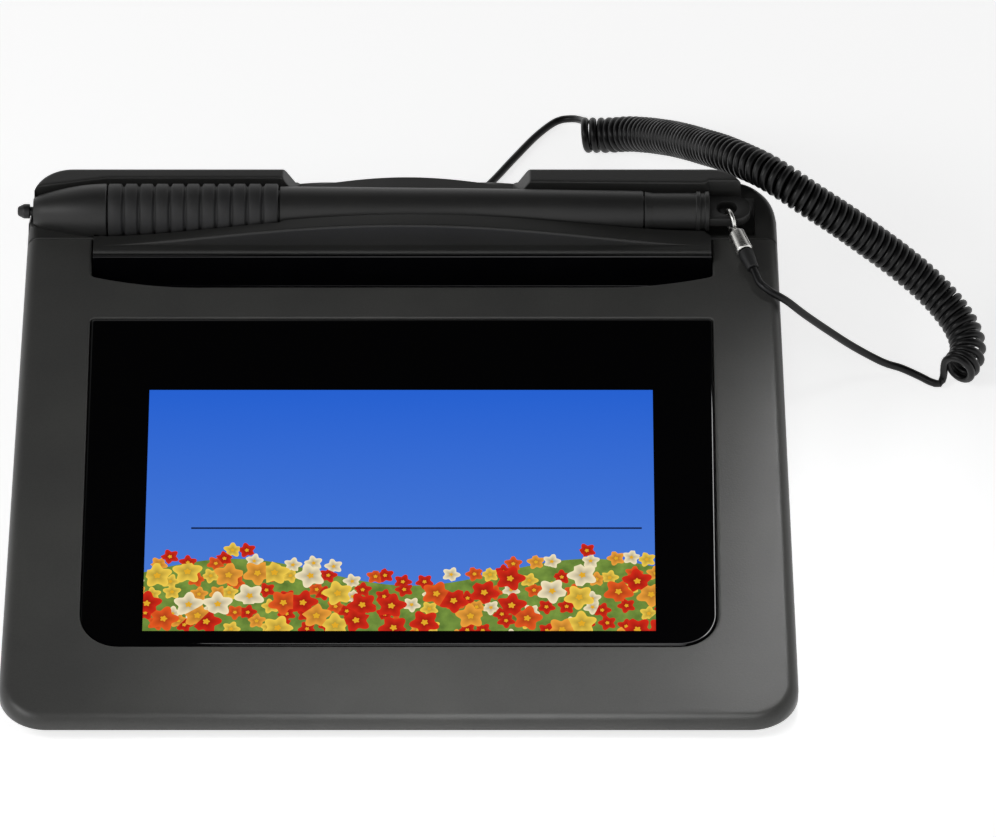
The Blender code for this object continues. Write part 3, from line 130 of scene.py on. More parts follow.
def curls(line, per_turn):
    """A helix about a middle line, wound from behind its top to its left side. Each turn takes the pitch
    of the line, or more inside a bend, where the cord would else lie in itself. Also its headings at
    both ends."""
    steps = np.diff(line, axis=0)
    lengths = np.linalg.norm(steps, axis=1)
    ways = unit(steps)
    ahead = np.vstack((ways[1:], ways[-1:]))
    bends = np.arccos(np.clip(np.sum(ways * ahead, axis=1), -1, 1)) / lengths
    near = np.convolve(np.pad(bends, 3, mode="edge"), np.ones(7) / 7, "valid")
    pitches = np.maximum(curl_pitch, 0.87 * cord_thick / (1 - curl_radius * near))
    turns = np.concatenate(([0], np.cumsum(lengths / pitches)))
    rest = curl_end - curl_start
    total = round(turns[-1] - rest) + rest
    turns *= total / turns[-1]
    want = np.arange(round(total * per_turn) + 1) / per_turn
    index = np.searchsorted(turns[:-1], want + 1e-6, side="right") - 1
    share = np.minimum((want - turns[index]) / (turns[index + 1] - turns[index]), 1)[:, None]
    centre = line[index] + steps[index] * share
    way = unit(ways[np.maximum(index - 1, 0)] * (0.5 - share / 2) + ways[index] * (0.5 + share / 2))
    side = unit(np.cross(way, (0, 0, 1)))
    top = np.cross(side, way)
    turn = 2 * math.pi * (want + curl_start)[:, None]
    coil = centre + curl_radius * (np.cos(turn) * top + np.sin(turn) * side)
    heading = unit(2 * math.pi * curl_radius * (np.cos(turn) * side - np.sin(turn) * top) + curl_pitch * way)
    return coil, -heading[0], heading[-1]


def linear(hexes):
    """An sRGB hex colour as linear red, green, blue and alpha."""
    levels = np.array([int(hexes[place:place + 2], 16) for place in (0, 2, 4)]) / 255
    return (*np.where(levels > 0.04045, ((levels + 0.055) / 1.055) ** 2.4, levels / 12.92), 1.0)


def add(tree, kind, settings, links={}):
    """Adds a node. Settings are its properties or its plain inputs, and links feed its inputs."""
    made = tree.nodes.new(kind)
    for key, value in settings.items():
        if isinstance(key, str) and hasattr(made, key):
            setattr(made, key, value)
        else:
            made.inputs[key].default_value = value
    for key, source in links.items():
        tree.links.new(source, made.inputs[key])
    return made


def maths(tree, operation, *values):
    """The result of a maths node. Each value is a number, or the socket that feeds it."""
    plain = {place: value for place, value in enumerate(values) if isinstance(value, (int, float))}
    fed = {place: value for place, value in enumerate(values) if place not in plain}
    return add(tree, "ShaderNodeMath", {"operation": operation, **plain}, fed).outputs[0]


def finish_named(name, sockets):
    """A new material and its shader, with plain values set on the shader's own sockets."""
    made = bpy.data.materials.new(name)
    made.use_nodes = True
    shader = made.node_tree.nodes["Principled BSDF"]
    for key, value in sockets.items():
        shader.inputs[key].default_value = value
    return made, made.node_tree, shader


def moulded(name, dark, pale, rough, grain, depth, **sockets):
    """Moulded plastic or rubber: the colour drifts a little over centimetres and from grain to grain,
    and the mould's spark-eroded grain, in millimetres, gives the bump and breaks up the gloss."""
    made, tree, shader = finish_named(name, sockets)
    place = add(tree, "ShaderNodeTexCoord", {}).outputs["Object"]
    drift = add(tree, "ShaderNodeTexNoise", {"Scale": 1000 / 18, "Detail": 2.0}, {"Vector": place})
    fine = add(tree, "ShaderNodeTexNoise", {"Scale": 1000 / grain, "Detail": 3.0, "Roughness": 0.6},
               {"Vector": place})
    both = add(tree, "ShaderNodeMix", {"data_type": "FLOAT", "Factor": 0.45},
               {"A": drift.outputs["Fac"], "B": fine.outputs["Fac"]})
    ramp = add(tree, "ShaderNodeMapRange", {"From Min": 0.35, "From Max": 0.65},
               {"Value": both.outputs["Result"]})
    tint = add(tree, "ShaderNodeMix", {"data_type": "RGBA", 6: linear(dark), 7: linear(pale)},
               {0: ramp.outputs["Result"]})
    gloss = add(tree, "ShaderNodeMapRange", {"From Min": 0.3, "From Max": 0.7, "To Min": rough - 0.05,
                                             "To Max": rough + 0.05}, {"Value": fine.outputs["Fac"]})
    bump = add(tree, "ShaderNodeBump", {"Strength": 0.5, "Distance": depth * 0.001},
               {"Height": fine.outputs["Fac"]})
    tree.links.new(tint.outputs[2], shader.inputs["Base Color"])
    tree.links.new(gloss.outputs["Result"], shader.inputs["Roughness"])
    tree.links.new(bump.outputs["Normal"], shader.inputs["Normal"])
    return made


# The jacket is extruded polyurethane: near black, smooth and half glossy, with faint draw marks
jacket = moulded("polyurethane_jacket", "0e0e0f", "161617", 0.36, 0.9, 0.02,
                 **{"Specular IOR Level": 0.34})

wound, first, last = curls(smooth(curl_route, 1.0), 24)
start = wound[0] + first * cord_thick
end = wound[-1] + last * cord_thick
lead_step = 1.2
lead = smooth([gland_end, gland_end + (0, 2 * cord_thick, 0)] + pad_route
              + [start + first * lead_step, start], lead_step)
line = world(np.vstack((lead, wound, end)))
curly = bpy.data.curves.new("tether", "CURVE")
curly.dimensions = "3D"
curly.bevel_depth = cord_thick / 2000
curly.bevel_resolution = 3
curly.use_fill_caps = True
spline = curly.splines.new("POLY")
spline.points.add(len(line) - 1)
spline.points.foreach_set("co", np.hstack((line, np.ones((len(line), 1)))).ravel())
curly.materials.append(jacket)
tether = bpy.data.objects.new("tether", curly)
bpy.context.scene.collection.objects.link(tether)
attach(tether, "base")
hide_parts("pad_lead", "tether_coil")


def grid(points, close_rows=False, close_columns=False):
    """The points of an array of rows and columns, and the quads between neighbours."""
    index = np.arange(points.shape[0] * points.shape[1]).reshape(points.shape[:2])
    if close_columns:
        index = np.hstack((index, index[:, :1]))
    if close_rows:
        index = np.vstack((index, index[:1]))
    quads = np.stack((index[:-1, :-1], index[:-1, 1:], index[1:, 1:], index[1:, :-1]), -1)
    return points.reshape(-1, 3), quads.reshape(-1, 4)


def piece(name, patches, material, body, instead=(), sharp=32):
    """An object from patches of points and faces in millimetres: their doubles are merged, their faces
    turned outwards, and edges sharper than an angle kept crisp. It rides on a body for CAD nodes."""
    points = []
    faces = []
    count = 0
    for place, quads in patches:
        points.append(world(place))
        faces += (np.asarray(quads) + count).tolist()
        count += len(place)
    mesh = bpy.data.meshes.new(name)
    mesh.from_pydata(np.vstack(points).tolist(), [], faces)
    work = bmesh.new()
    work.from_mesh(mesh)
    bmesh.ops.remove_doubles(work, verts=work.verts, dist=0.000002)
    bmesh.ops.dissolve_degenerate(work, edges=work.edges, dist=0.000001)
    bmesh.ops.recalc_face_normals(work, faces=work.faces)
    work.to_mesh(mesh)
    work.free()
    mesh.shade_smooth()
    mesh.set_sharp_from_angle(angle=math.radians(sharp))
    mesh.materials.append(material)
    made = bpy.data.objects.new(name, mesh)
    bpy.context.scene.collection.objects.link(made)
    if body:
        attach(made, body)
    if instead:
        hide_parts(*instead)
    return made


def tube(points, radius, sides):
    """A round tube: at each point a ring in the plane across the line, with its first spoke square to a
    diagonal that the line never takes, and both ends drawn in to a point."""
    way = unit(np.gradient(points, axis=0))
    side = unit(np.cross(way, (1, 1, 0)))
    top = np.cross(side, way)
    turn = np.linspace(0, 2 * math.pi, sides, endpoint=False)[None, :, None]
    rings = points[:, None] + radius * (np.cos(turn) * side[:, None] + np.sin(turn) * top[:, None])
    ends = [np.repeat(points[place][None, None], sides, axis=1) for place in (0, -1)]
    return grid(np.concatenate((ends[0], rings, ends[1])), close_columns=True)


# The last lead runs from the curls to the rubber boot on the pen's swivel
boot_reach = 16.8
tuck_in = 0.4
boot_end = swivel_root + swivel_way * boot_reach
last_lead = smooth(
    [end - last * tuck_in, end + last * cord_thick] + pen_route
    + [boot_end + swivel_way * cord_thick, boot_end], lead_step
)
pen_lead = piece("tether_pen_lead", [tube(last_lead, cord_thick / 2, 14)], jacket, None,
                 ["pen_lead"])
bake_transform(pen_lead)


# Studio: white paper under the pad and soft boxes far off and near. Two narrow strips hang over the front
# frame and the right rail; they and the near front box shine only within their spread in degrees, which
# gives the satin its sheen and keeps them out of the glass.
paper, tree, shader = finish_named("white_paper", {"Roughness": 0.9, "Base Color": linear("e6e6e6")})
rays = add(tree, "ShaderNodeLightPath", {}).outputs
reflected = maths(tree, "MAXIMUM", rays["Is Glossy Ray"], rays["Is Transmission Ray"])
seen = maths(tree, "MAXIMUM", rays["Is Camera Ray"], reflected)
glow = add(tree, "ShaderNodeEmission", {"Color": (1, 1, 1, 1)},
           {"Strength": maths(tree, "MULTIPLY", seen, 0.74)})
both = add(tree, "ShaderNodeAddShader", {}, {0: shader.outputs["BSDF"], 1: glow.outputs["Emission"]})
tree.links.new(both.outputs["Shader"], tree.nodes["Material Output"].inputs["Surface"])
mesh = bpy.data.meshes.new("floor")
mesh.from_pydata([(-3, -3, 0), (3, -3, 0), (3, 3, 0), (-3, 3, 0)], [], [(0, 1, 2, 3)])
mesh.materials.append(paper)
floor = bpy.data.objects.new("floor", mesh)
bpy.context.scene.collection.objects.link(floor)

sky = bpy.data.worlds.new("studio")
bpy.context.scene.world = sky
sky.use_nodes = True
tree = sky.node_tree
rays = add(tree, "ShaderNodeLightPath", {}).outputs
back = tree.nodes["Background"]
way = add(tree, "ShaderNodeTexCoord", {}).outputs["Generated"]
up = add(tree, "ShaderNodeSeparateXYZ", {}, {"Vector": way}).outputs["Z"]
dome = add(tree, "ShaderNodeMapRange", {"From Min": 0.1, "From Max": 0.8, "To Min": 0.5, "To Max": 0.02},
           {"Value": up})
mirrored = add(tree, "ShaderNodeMapRange", {"From Min": 0.2, "From Max": 0.78, "To Min": 1.0, "To Max": 0.02},
               {"Value": up})
reflected = maths(tree, "MAXIMUM", rays["Is Glossy Ray"], rays["Is Transmission Ray"])
strength = add(tree, "ShaderNodeMix", {"data_type": "FLOAT"},
               {0: reflected, 2: dome.outputs["Result"], 3: mirrored.outputs["Result"]})
strength = add(tree, "ShaderNodeMix", {"data_type": "FLOAT", 3: 1.0},
               {0: rays["Is Camera Ray"], 2: strength.outputs[0]})
tree.links.new(strength.outputs[0], back.inputs["Strength"])
back.inputs["Color"].default_value = (1, 1, 1, 1)

for name, spot, target, width, length, power, spread in (
    ("soft_box_left", (-0.75, -0.55, 0.8), aim, 0.7, 0.7, 1.2, 180),
    ("soft_box_front", (0.35, -1.1, 0.7), aim, 0.7, 0.7, 0.4, 180),
    ("soft_box_rear", (-0.35, 0.9, 0.9), aim, 0.6, 0.6, 0.3, 180),
    ("near_box_left", (-0.30, -0.16, 0.30), (0, 0, 0), 0.16, 0.16, 0.30, 180),
    ("near_box_front", (0.03, -0.12, 0.17), (0, -0.06, 0), 0.12, 0.12, 0.035, 70),
    ("sheen_strip_front", (0.025, -0.025, 0.10), (0.025, -0.067, 0.01), 0.14, 0.012, 0.0022, 60),
    ("sheen_strip_right", (0.089, 0.022, 0.12), (0.083, -0.02, 0.03), 0.014, 0.08, 0.0055, 60),
):
    lamp = bpy.data.lights.new(name, "AREA")
    lamp.shape = "RECTANGLE"
    lamp.size = width
    lamp.size_y = length
    lamp.energy = power
    lamp.spread = math.radians(spread)
    stand = bpy.data.objects.new(name, lamp)
    stand.location = spot
    away = np.array(spot) - np.array(target)
    stand.rotation_euler = (math.atan2(math.hypot(away[0], away[1]), away[2]), 0,
                            math.atan2(away[0], -away[1]))
    stand.visible_camera = False
    bpy.context.scene.collection.objects.link(stand)


# Top housing: the wedge-shaped upper shell, one moulding in satin charcoal ABS. Its front frame and rails
# slope at 10 degrees, the glass and the slot lie in openings with eased rims, and screws hold it from below.
depth = 143.8
tilt = math.radians(10)
slope = math.tan(tilt)
front_corner = 10.3
rear_corner = 10.0
lip = 6.5
seam = 126.7
shelf = 20.0
skirt = 3.6
wall = 2.2
roll = 2.4
charcoal = moulded("textured_charcoal_abs", "424241", "4b4b49", 0.37, 0.42, 0.05)


def half_width(y):
    """Half the case's width, which narrows a little to the back."""
    return 83.8 + 0.0187 * (front_corner - y)


def panel(y):
    """The height of the sloping face."""
    return lip + slope * y


def softened(corners, radii, steps=6, closed=False):
    """A line through corners, each replaced by an arc of its radius that touches both its sides."""
    corners = np.asarray(corners, float)
    radii = np.broadcast_to(radii, len(corners))
    made = []
    for index, (corner, radius) in enumerate(zip(corners, radii)):
        if radius <= 0 or (not closed and index in (0, len(corners) - 1)):
            made.append(corner[None])
            continue
        back = corners[index - 1] - corner
        ahead = corners[(index + 1) % len(corners)] - corner
        sizes = np.linalg.norm(back), np.linalg.norm(ahead)
        half = math.acos(np.clip(back @ ahead / sizes[0] / sizes[1], -1, 1)) / 2
        reach = min(radius / math.tan(half), 0.49 * sizes[0], 0.49 * sizes[1])
        middle = corner + unit(unit(back) + unit(ahead)) * reach / math.cos(half)
        spoke = corner + unit(back) * reach - middle
        far = corner + unit(ahead) * reach - middle
        sweep = math.atan2(spoke[0] * far[1] - spoke[1] * far[0], spoke @ far)
        turn = np.linspace(0, sweep, steps + 1)[:, None]
        made.append(middle + np.cos(turn) * spoke + np.sin(turn) * np.array((-spoke[1], spoke[0])))
    return np.vstack(made)


def inwards(path, distance, closed=False):
    """A path in X and Y moved to its left by a distance, along the mean of the ways beside each point."""
    if closed:
        legs = unit(np.roll(path, -1, axis=0) - path)
        before = np.roll(legs, 1, axis=0)
    else:
        legs = unit(np.diff(path, axis=0))
        before = np.vstack((legs[:1], legs))
        legs = np.vstack((legs, legs[-1:]))
    way = unit(legs + before)
    stretch = 1 / np.sum(way * legs, axis=1, keepdims=True)
    return path + distance * stretch * np.stack((-way[:, 1], way[:, 0]), -1)


def rim(path, rows, closed=False):
    """A profile carried along a path: each row is a distance to the path's left with a drop below the
    sloping face, or with a height of its own."""
    made = []
    for distance, drop, height in rows:
        moved = inwards(path, distance, closed)
        z = panel(moved[:, 1]) - drop if height is None else np.full(len(moved), float(height))
        made.append(np.column_stack((moved, z)))
    return np.stack(made)


def ease(radius, steps):
    """A quarter round's distances and drops, from its upright end to its level end."""
    turn = np.linspace(0, math.pi / 2, steps + 1)
    return [(radius * (1 - math.cos(a)), radius * (1 - math.sin(a)), None) for a in turn]


def filled(*loops):
    """Triangles that fill a flat outline with holes, which are given as loops of points in 3D."""
    flat = [[tuple(point) for point in loop] for loop in loops]
    return np.vstack(loops), np.array(geometry.tessellate_polygon(flat))


flat_edge = roll + 0.6
front_path = softened(
    [(-half_width(seam), seam), (-half_width(0), 0), (half_width(0), 0), (half_width(seam), seam)],
    front_corner, 20
)
skirt_rows = [(wall, wall, None), (wall, 0, skirt + 0.2), (wall - 0.2, 0, skirt), (0.3, 0, skirt),
              (0.09, 0, skirt + 0.09), (0, 0, skirt + 0.3)]
front_skin = rim(front_path, skirt_rows + ease(roll, 10) + [(flat_edge, 0, None)])
bend = np.linspace(1, 0, 12)[1:]
bar_curve = np.column_stack((44 + 23.4 * bend, 113.8 + 3 * bend ** 2))
slot_right = softened(np.vstack([[(67.4, seam), (67.4, 116.8)], bar_curve]),
                      [0, 1.2] + [0] * len(bar_curve))
slot_path = np.vstack((slot_right, slot_right[::-1] * (-1, 1)))
slot_skin = rim(slot_path, [(0, 0, shelf)] + ease(0.5, 4) + [(0.9, 0, None)])
glass_half = 67.0
glass_near = 19.6 * math.cos(tilt)
glass_far = 106.7 * math.cos(tilt)


def glass_path(grow):
    """The cover glass from above, grown all round, with its front corners rounded."""
    x, near, far = glass_half + grow, glass_near - grow, glass_far + grow
    corners = [(-x, near), (-x, far), (x, far), (x, near)]
    return softened(corners, [8 + grow, 0.8 + grow, 0.8 + grow, 8 + grow], 14, closed=True)


glass_skin = rim(glass_path(0.3), [(-1.6, 2.6, None), (-1.6, 2.3, None), (0, 2.3, None)] + ease(0.35, 4)
                 + [(0.7, 0, None)], closed=True)
top_face = filled(np.vstack((front_skin[-1], slot_skin[-1])), glass_skin[-1])
seam_ends = []
for place, sign in ((-1, 1), (0, -1)):
    side = front_skin[len(skirt_rows):, place]
    inner = slot_skin[::-1, 0 if sign > 0 else -1]
    foot = [(sign * half_width(seam), seam, shelf)]
    seam_ends.append(filled(np.vstack((foot, side, inner))))

# The rear wall is lower, because the pen tray sits on it; it has the data inlet's and the tether's holes
rear_path = softened(
    [(half_width(seam), seam), (half_width(depth), depth), (-half_width(depth), depth),
     (-half_width(seam), seam)], rear_corner, 16
)
rear_rows = [(wall, 0, shelf - wall)] + skirt_rows[1:] + [(0, 0, shelf - 0.25), (0.25, 0, shelf),
                                                          (1, 0, shelf)]
rear_skin, rear_quads = grid(rim(rear_path, rear_rows))
middle = rear_skin[rear_quads].mean(axis=1)
open_wall = (abs(middle[:, 1] - depth) < 0.01) & (middle[:, 2] > skirt + 0.5) & (middle[:, 2] < shelf - 0.5)
wall_half = abs(rear_skin[rear_quads[open_wall]][:, :, 0]).max()
rear_quads = rear_quads[~open_wall]
wall_edge = [(-wall_half, skirt + 0.3), (wall_half, skirt + 0.3), (wall_half, shelf - 0.25),
             (-wall_half, shelf - 0.25)]
inlet_hole = softened([(-36.2, 9.6), (-27.8, 9.6), (-27.8, 14.1), (-36.2, 14.1)], 0.7, 4, closed=True)
ring = np.linspace(0, 2 * math.pi, 32, endpoint=False)
gland_hole = np.column_stack((gland_end[0] + 2.8 * np.cos(ring), gland_end[2] + 2.8 * np.sin(ring)))


def on_wall(outline, y):
    """An outline in X and Z as points at a distance from the front."""
    outline = np.asarray(outline, float)
    return np.column_stack((outline[:, 0], np.full(len(outline), y), outline[:, 1]))


rear_wall = [filled(on_wall(wall_edge, depth), on_wall(inlet_hole, depth), on_wall(gland_hole, depth))]
for hole in (inlet_hole, gland_hole):
    rear_wall.append(grid(np.stack((on_wall(hole, depth), on_wall(hole, depth - wall))), close_columns=True))
shelf_front = slot_path[::-1]
shelf_rear = inwards(rear_path, 1)
shelf_face = np.vstack((shelf_rear, shelf_front))
shelf_face = filled(np.column_stack((shelf_face, np.full(len(shelf_face), shelf))))
piece("pad_top_housing",
      [grid(front_skin), grid(slot_skin), grid(glass_skin, close_columns=True), top_face, *seam_ends,
       (rear_skin, rear_quads), *rear_wall, shelf_face],
      charcoal, "base", ["top_housing"])


# Pen tray: the rear cap, moulded in the same ABS, drawn darker than the top housing as painted shade. A ledge
# over the slot, an arched wall that holds the pen, the trough, and a ridge with a thumb notch behind it; it
# clips down over the shelf.
tray_bottom = 20.3
ledge_half = 67.1
ledge_top = 30.0
ledge_front = 121.3
arch_front = 123.4
arch_rise = 5.8
pen_y = 132.5
pen_z = 31.9
ridge_top = 36.0
ridge_rear = 142.3
ridge_left = -80.5
ridge_right = 74.6
left_round = 8.5
right_round = 7.5
notch_left = -22.5
notch_right = 24.2
notch_low = 30.2
notch_rise = 3.0
notch_slope = 5.8 / 3.6
trough_end = 76.8
stops = np.array((-90, -80.3, -64.3, -26.7, -25.7, 52.4, 65.8, 66.8, 76.8))
room = np.array((3.5, 3.5, 6.4, 6.4, 5.8, 4.8, 4.7, 5.6, 5.6))


def quarter(distance, radius):
    """How far a rounded edge lies below its top at a distance inside the edge."""
    reach = np.clip(radius - distance, 0, radius)
    return radius - np.sqrt(radius ** 2 - reach ** 2)


def inside(left, rear, radius):
    """The distance inside a corner's arc from the distances inside its two sides."""
    corner = radius - np.hypot(np.maximum(radius - left, 0), np.maximum(radius - rear, 0))
    return np.where((left < radius) & (rear < radius), corner, np.minimum(left, rear))


def softly_lower(a, b, blend):
    """The lower of two heights, rounded where they cross."""
    share = np.clip(0.5 + (b - a) / (2 * blend), 0, 1)
    return b * (1 - share) + a * share - blend * share * (1 - share)


def notch(x):
    """The thumb notch's height: a gently arched floor between two sloping ends."""
    along = np.clip((x - notch_left) / (notch_right - notch_left), 0, 1)
    floor_height = notch_low + notch_rise * np.sin(math.pi * along)
    left = notch_low + (notch_left - x) * notch_slope
    right = notch_low + (x - notch_right) * notch_slope
    return np.maximum(floor_height, np.maximum(left, right))


def tray_height(x, y):
    """The tray's upper face behind the pen: the sloping case or the ridge, whichever is higher, cut by
    the notch, with quarter rounds inside both outlines."""
    case = inside(half_width(y) - abs(x), depth - y, rear_corner)
    base = panel(y) - quarter(case, roll)
    left, right = x - ridge_left, ridge_right - x
    edge = np.where(left < right, inside(left, ridge_rear - y, left_round),
                    inside(right, ridge_rear - y, right_round))
    top = np.where(edge > -0.0005, ridge_top - quarter(edge, 1.0), base)
    return softly_lower(np.maximum(top, base), notch(x), 0.35)


def ridge_line(x):
    """Where the ridge's outline stands at a distance along the pad."""
    left = np.clip(left_round - (x - ridge_left), 0, left_round)
    right = np.clip(right_round - (ridge_right - x), 0, right_round)
    y = ridge_rear - left_round + np.sqrt(left_round ** 2 - left ** 2)
    y = np.where(right > 0, ridge_rear - right_round + np.sqrt(right_round ** 2 - right ** 2), y)
    return np.where((x < ridge_left) | (x > ridge_right), ridge_rear - 9, y)


def case_line(x, y):
    """Where the case's rear outline stands at a distance along the pad."""
    reach = np.clip(rear_corner - (half_width(y) - abs(x)), 0, rear_corner)
    return depth - rear_corner + np.sqrt(rear_corner ** 2 - reach ** 2)


edges = half_width(seam) - np.array(
    [0, 0.05, 0.18, 0.4, 0.7, 1.05, 1.45, 1.9, 2.4, 3.2, 4.2, 5.4, 6.8, 8.4, 10, 12]
)
stations = np.concatenate((
    -edges, edges, np.arange(-69, 77, 1.0), np.arange(-81, -71.5, 0.25), np.arange(66, trough_end, 0.25),
    np.arange(-27.5, -20.5, 0.2), np.arange(22.5, 29.5, 0.2), (-ledge_half - 0.01, -ledge_half,
    ledge_half, ledge_half + 0.01, trough_end, trough_end + 0.01, 66.79, -26.71, -25.7, -64.3, -80.3),
))
stations = np.unique(np.round(stations, 3))
x = stations[:, None]
radius = np.interp(x, stops, room)
on_ledge = abs(x) <= ledge_half
has_trough = x <= trough_end
front_y = np.where(on_ledge, ledge_front, seam + 0.3)
front_z = np.where(on_ledge, ledge_top, panel(front_y))
arch = ledge_top + arch_rise * np.clip(1 - (x / 66) ** 2, 0, 1) ** 1.7
side_drop = quarter(half_width(pen_y) - abs(x), roll)
arch_y = np.where(on_ledge, arch_front, seam + 0.6)
before_z = np.where(on_ledge, arch, panel(pen_y - 5))
near_y = pen_y - np.sqrt(np.maximum(radius ** 2 - np.maximum(pen_z - before_z, 0) ** 2, 0.01))
near_y = np.where(has_trough, near_y, pen_y - 1)
before_z = np.where(on_ledge, arch, panel(near_y))
turn = np.linspace(0, math.pi / 2, 5)[None]
front_round = 0.9
wall_round = np.minimum(0.6, (arch - ledge_top) / 2 + 0.001)
lip_round = 0.4
ledge_y = np.concatenate((front_y, front_y + front_round * (1 - np.cos(turn)), arch_y - 0.01, arch_y),
                         axis=1)
ledge_z = np.concatenate((
    np.full_like(x, tray_bottom), front_z - front_round * (1 - np.sin(turn)),
    np.where(on_ledge, ledge_top, panel(arch_y)), np.where(on_ledge, ledge_top, panel(arch_y)),
), axis=1)
face_y = np.concatenate((
    arch_y + np.where(on_ledge, wall_round * (1 - np.cos(turn)), 0.1 * turn),
    near_y - np.where(on_ledge, lip_round * np.cos(turn[:, ::-1]), 0.2 * turn[:, ::-1]),
), axis=1)
face_z = np.concatenate((
    np.where(on_ledge, before_z - wall_round * (1 - np.sin(turn)), panel(arch_y + 0.1 * turn)),
    np.where(on_ledge,
             before_z - np.minimum(lip_round, (arch - ledge_top) / 2) * (1 - np.sin(turn[:, ::-1])),
             panel(near_y - 0.2 * turn[:, ::-1])),
), axis=1)
drop_sides = np.where(on_ledge, 0, 1)
ledge_z[:, 1:] -= drop_sides * side_drop
face_z -= drop_sides * side_drop
start_angle = np.arcsin(np.clip((pen_z - face_z[:, -1:]) / np.maximum(radius, 0.01), 0, 1))
guess = tray_height(x, pen_y + radius)
far_y = pen_y + np.sqrt(np.maximum(radius ** 2 - np.maximum(pen_z - guess, 0) ** 2, 0.01))
far_y = np.where(has_trough, far_y, pen_y + 1)
guess = tray_height(x, far_y)
end_angle = math.pi - np.arcsin(np.clip((pen_z - guess) / np.maximum(radius, 0.01), 0, 1))
sweep = start_angle + (end_angle - start_angle) * np.linspace(0, 1, 25)[None]
groove_y = np.where(has_trough, pen_y - radius * np.cos(sweep), near_y + (far_y - near_y)
                    * np.linspace(0, 1, 25)[None])
groove_z = np.where(has_trough, pen_z - radius * np.sin(sweep), panel(groove_y) - side_drop)
ridge_y = np.maximum(ridge_line(x), far_y)
steps = np.array((0.0, 0.1, 0.25, 0.45, 1.0))[None]
spread = np.minimum(1.0 / np.maximum(1 - np.clip((ridge_rear - ridge_y) / left_round, 0, 0.97), 0.03), 8)
width = ridge_y - far_y
lead_in = far_y + np.minimum(steps, width / 2)
lead_in_z = tray_height(x, lead_in)
tall = lead_in_z[:, -1:] > pen_z
lead_in_z = np.where(tall, lead_in_z - 0.45 + np.sqrt(0.45 ** 2 - (0.45 - np.minimum(steps, 0.45)) ** 2),
                     lead_in_z)
back_steps = np.array((1.3, 1.0, 0.75, 0.5, 0.3, 0.14, 0.04, 0.0))[None]
top_y = ridge_y - np.minimum(back_steps * spread, width / 2)
top_z = tray_height(x, top_y)
case_y = case_line(x, pen_y)
behind = np.array((0.02, 0.35, 0.6, 0.75, 0.86, 0.94, 0.985, 1.0))[None]
slope_y = ridge_y + (case_y - ridge_y) * behind
slope_z = tray_height(x, slope_y - 0.001)
section_y = np.concatenate((ledge_y, face_y, groove_y, lead_in, top_y, slope_y, case_y), axis=1)
section_z = np.concatenate(
    (ledge_z, face_z, groove_z, lead_in_z, top_z, slope_z, np.full_like(x, tray_bottom)), axis=1
)
weight = np.clip((abs(x) - 70) / (half_width(seam) - 70), 0, 1)
section_x = x + np.sign(x) * weight * (half_width(section_y) - half_width(seam))
sections = np.stack((section_x, section_y, section_z), -1)
ends = [sections[place][None].copy() for place in (0, -1)]
for closing in ends:
    closing[..., 2] = tray_bottom
sections = np.concatenate((ends[0], sections, ends[1]))
# Painted shade: the tray's colour is the housing's charcoal ABS darkened, standing for the shaded rear of the
# pad.
tray_abs_painted_shade = moulded("charcoal_abs_darkened_as_shade", "2c2c2b", "333332", 0.46, 0.42, 0.05)
piece("pad_pen_tray", [grid(sections, close_columns=True)], tray_abs_painted_shade, "base",
      ["pen_tray"])


# Cover glass: chemically hardened glass with a black border printed behind it and the colour display
# bonded under its window. It drops into the top housing's opening and is a hair below the frame.
screen_wide = 108
screen_long = 64
screen_near = 23.35
wave_turns = 9.0
wave_rise = 0.055
bank_height = 0.24


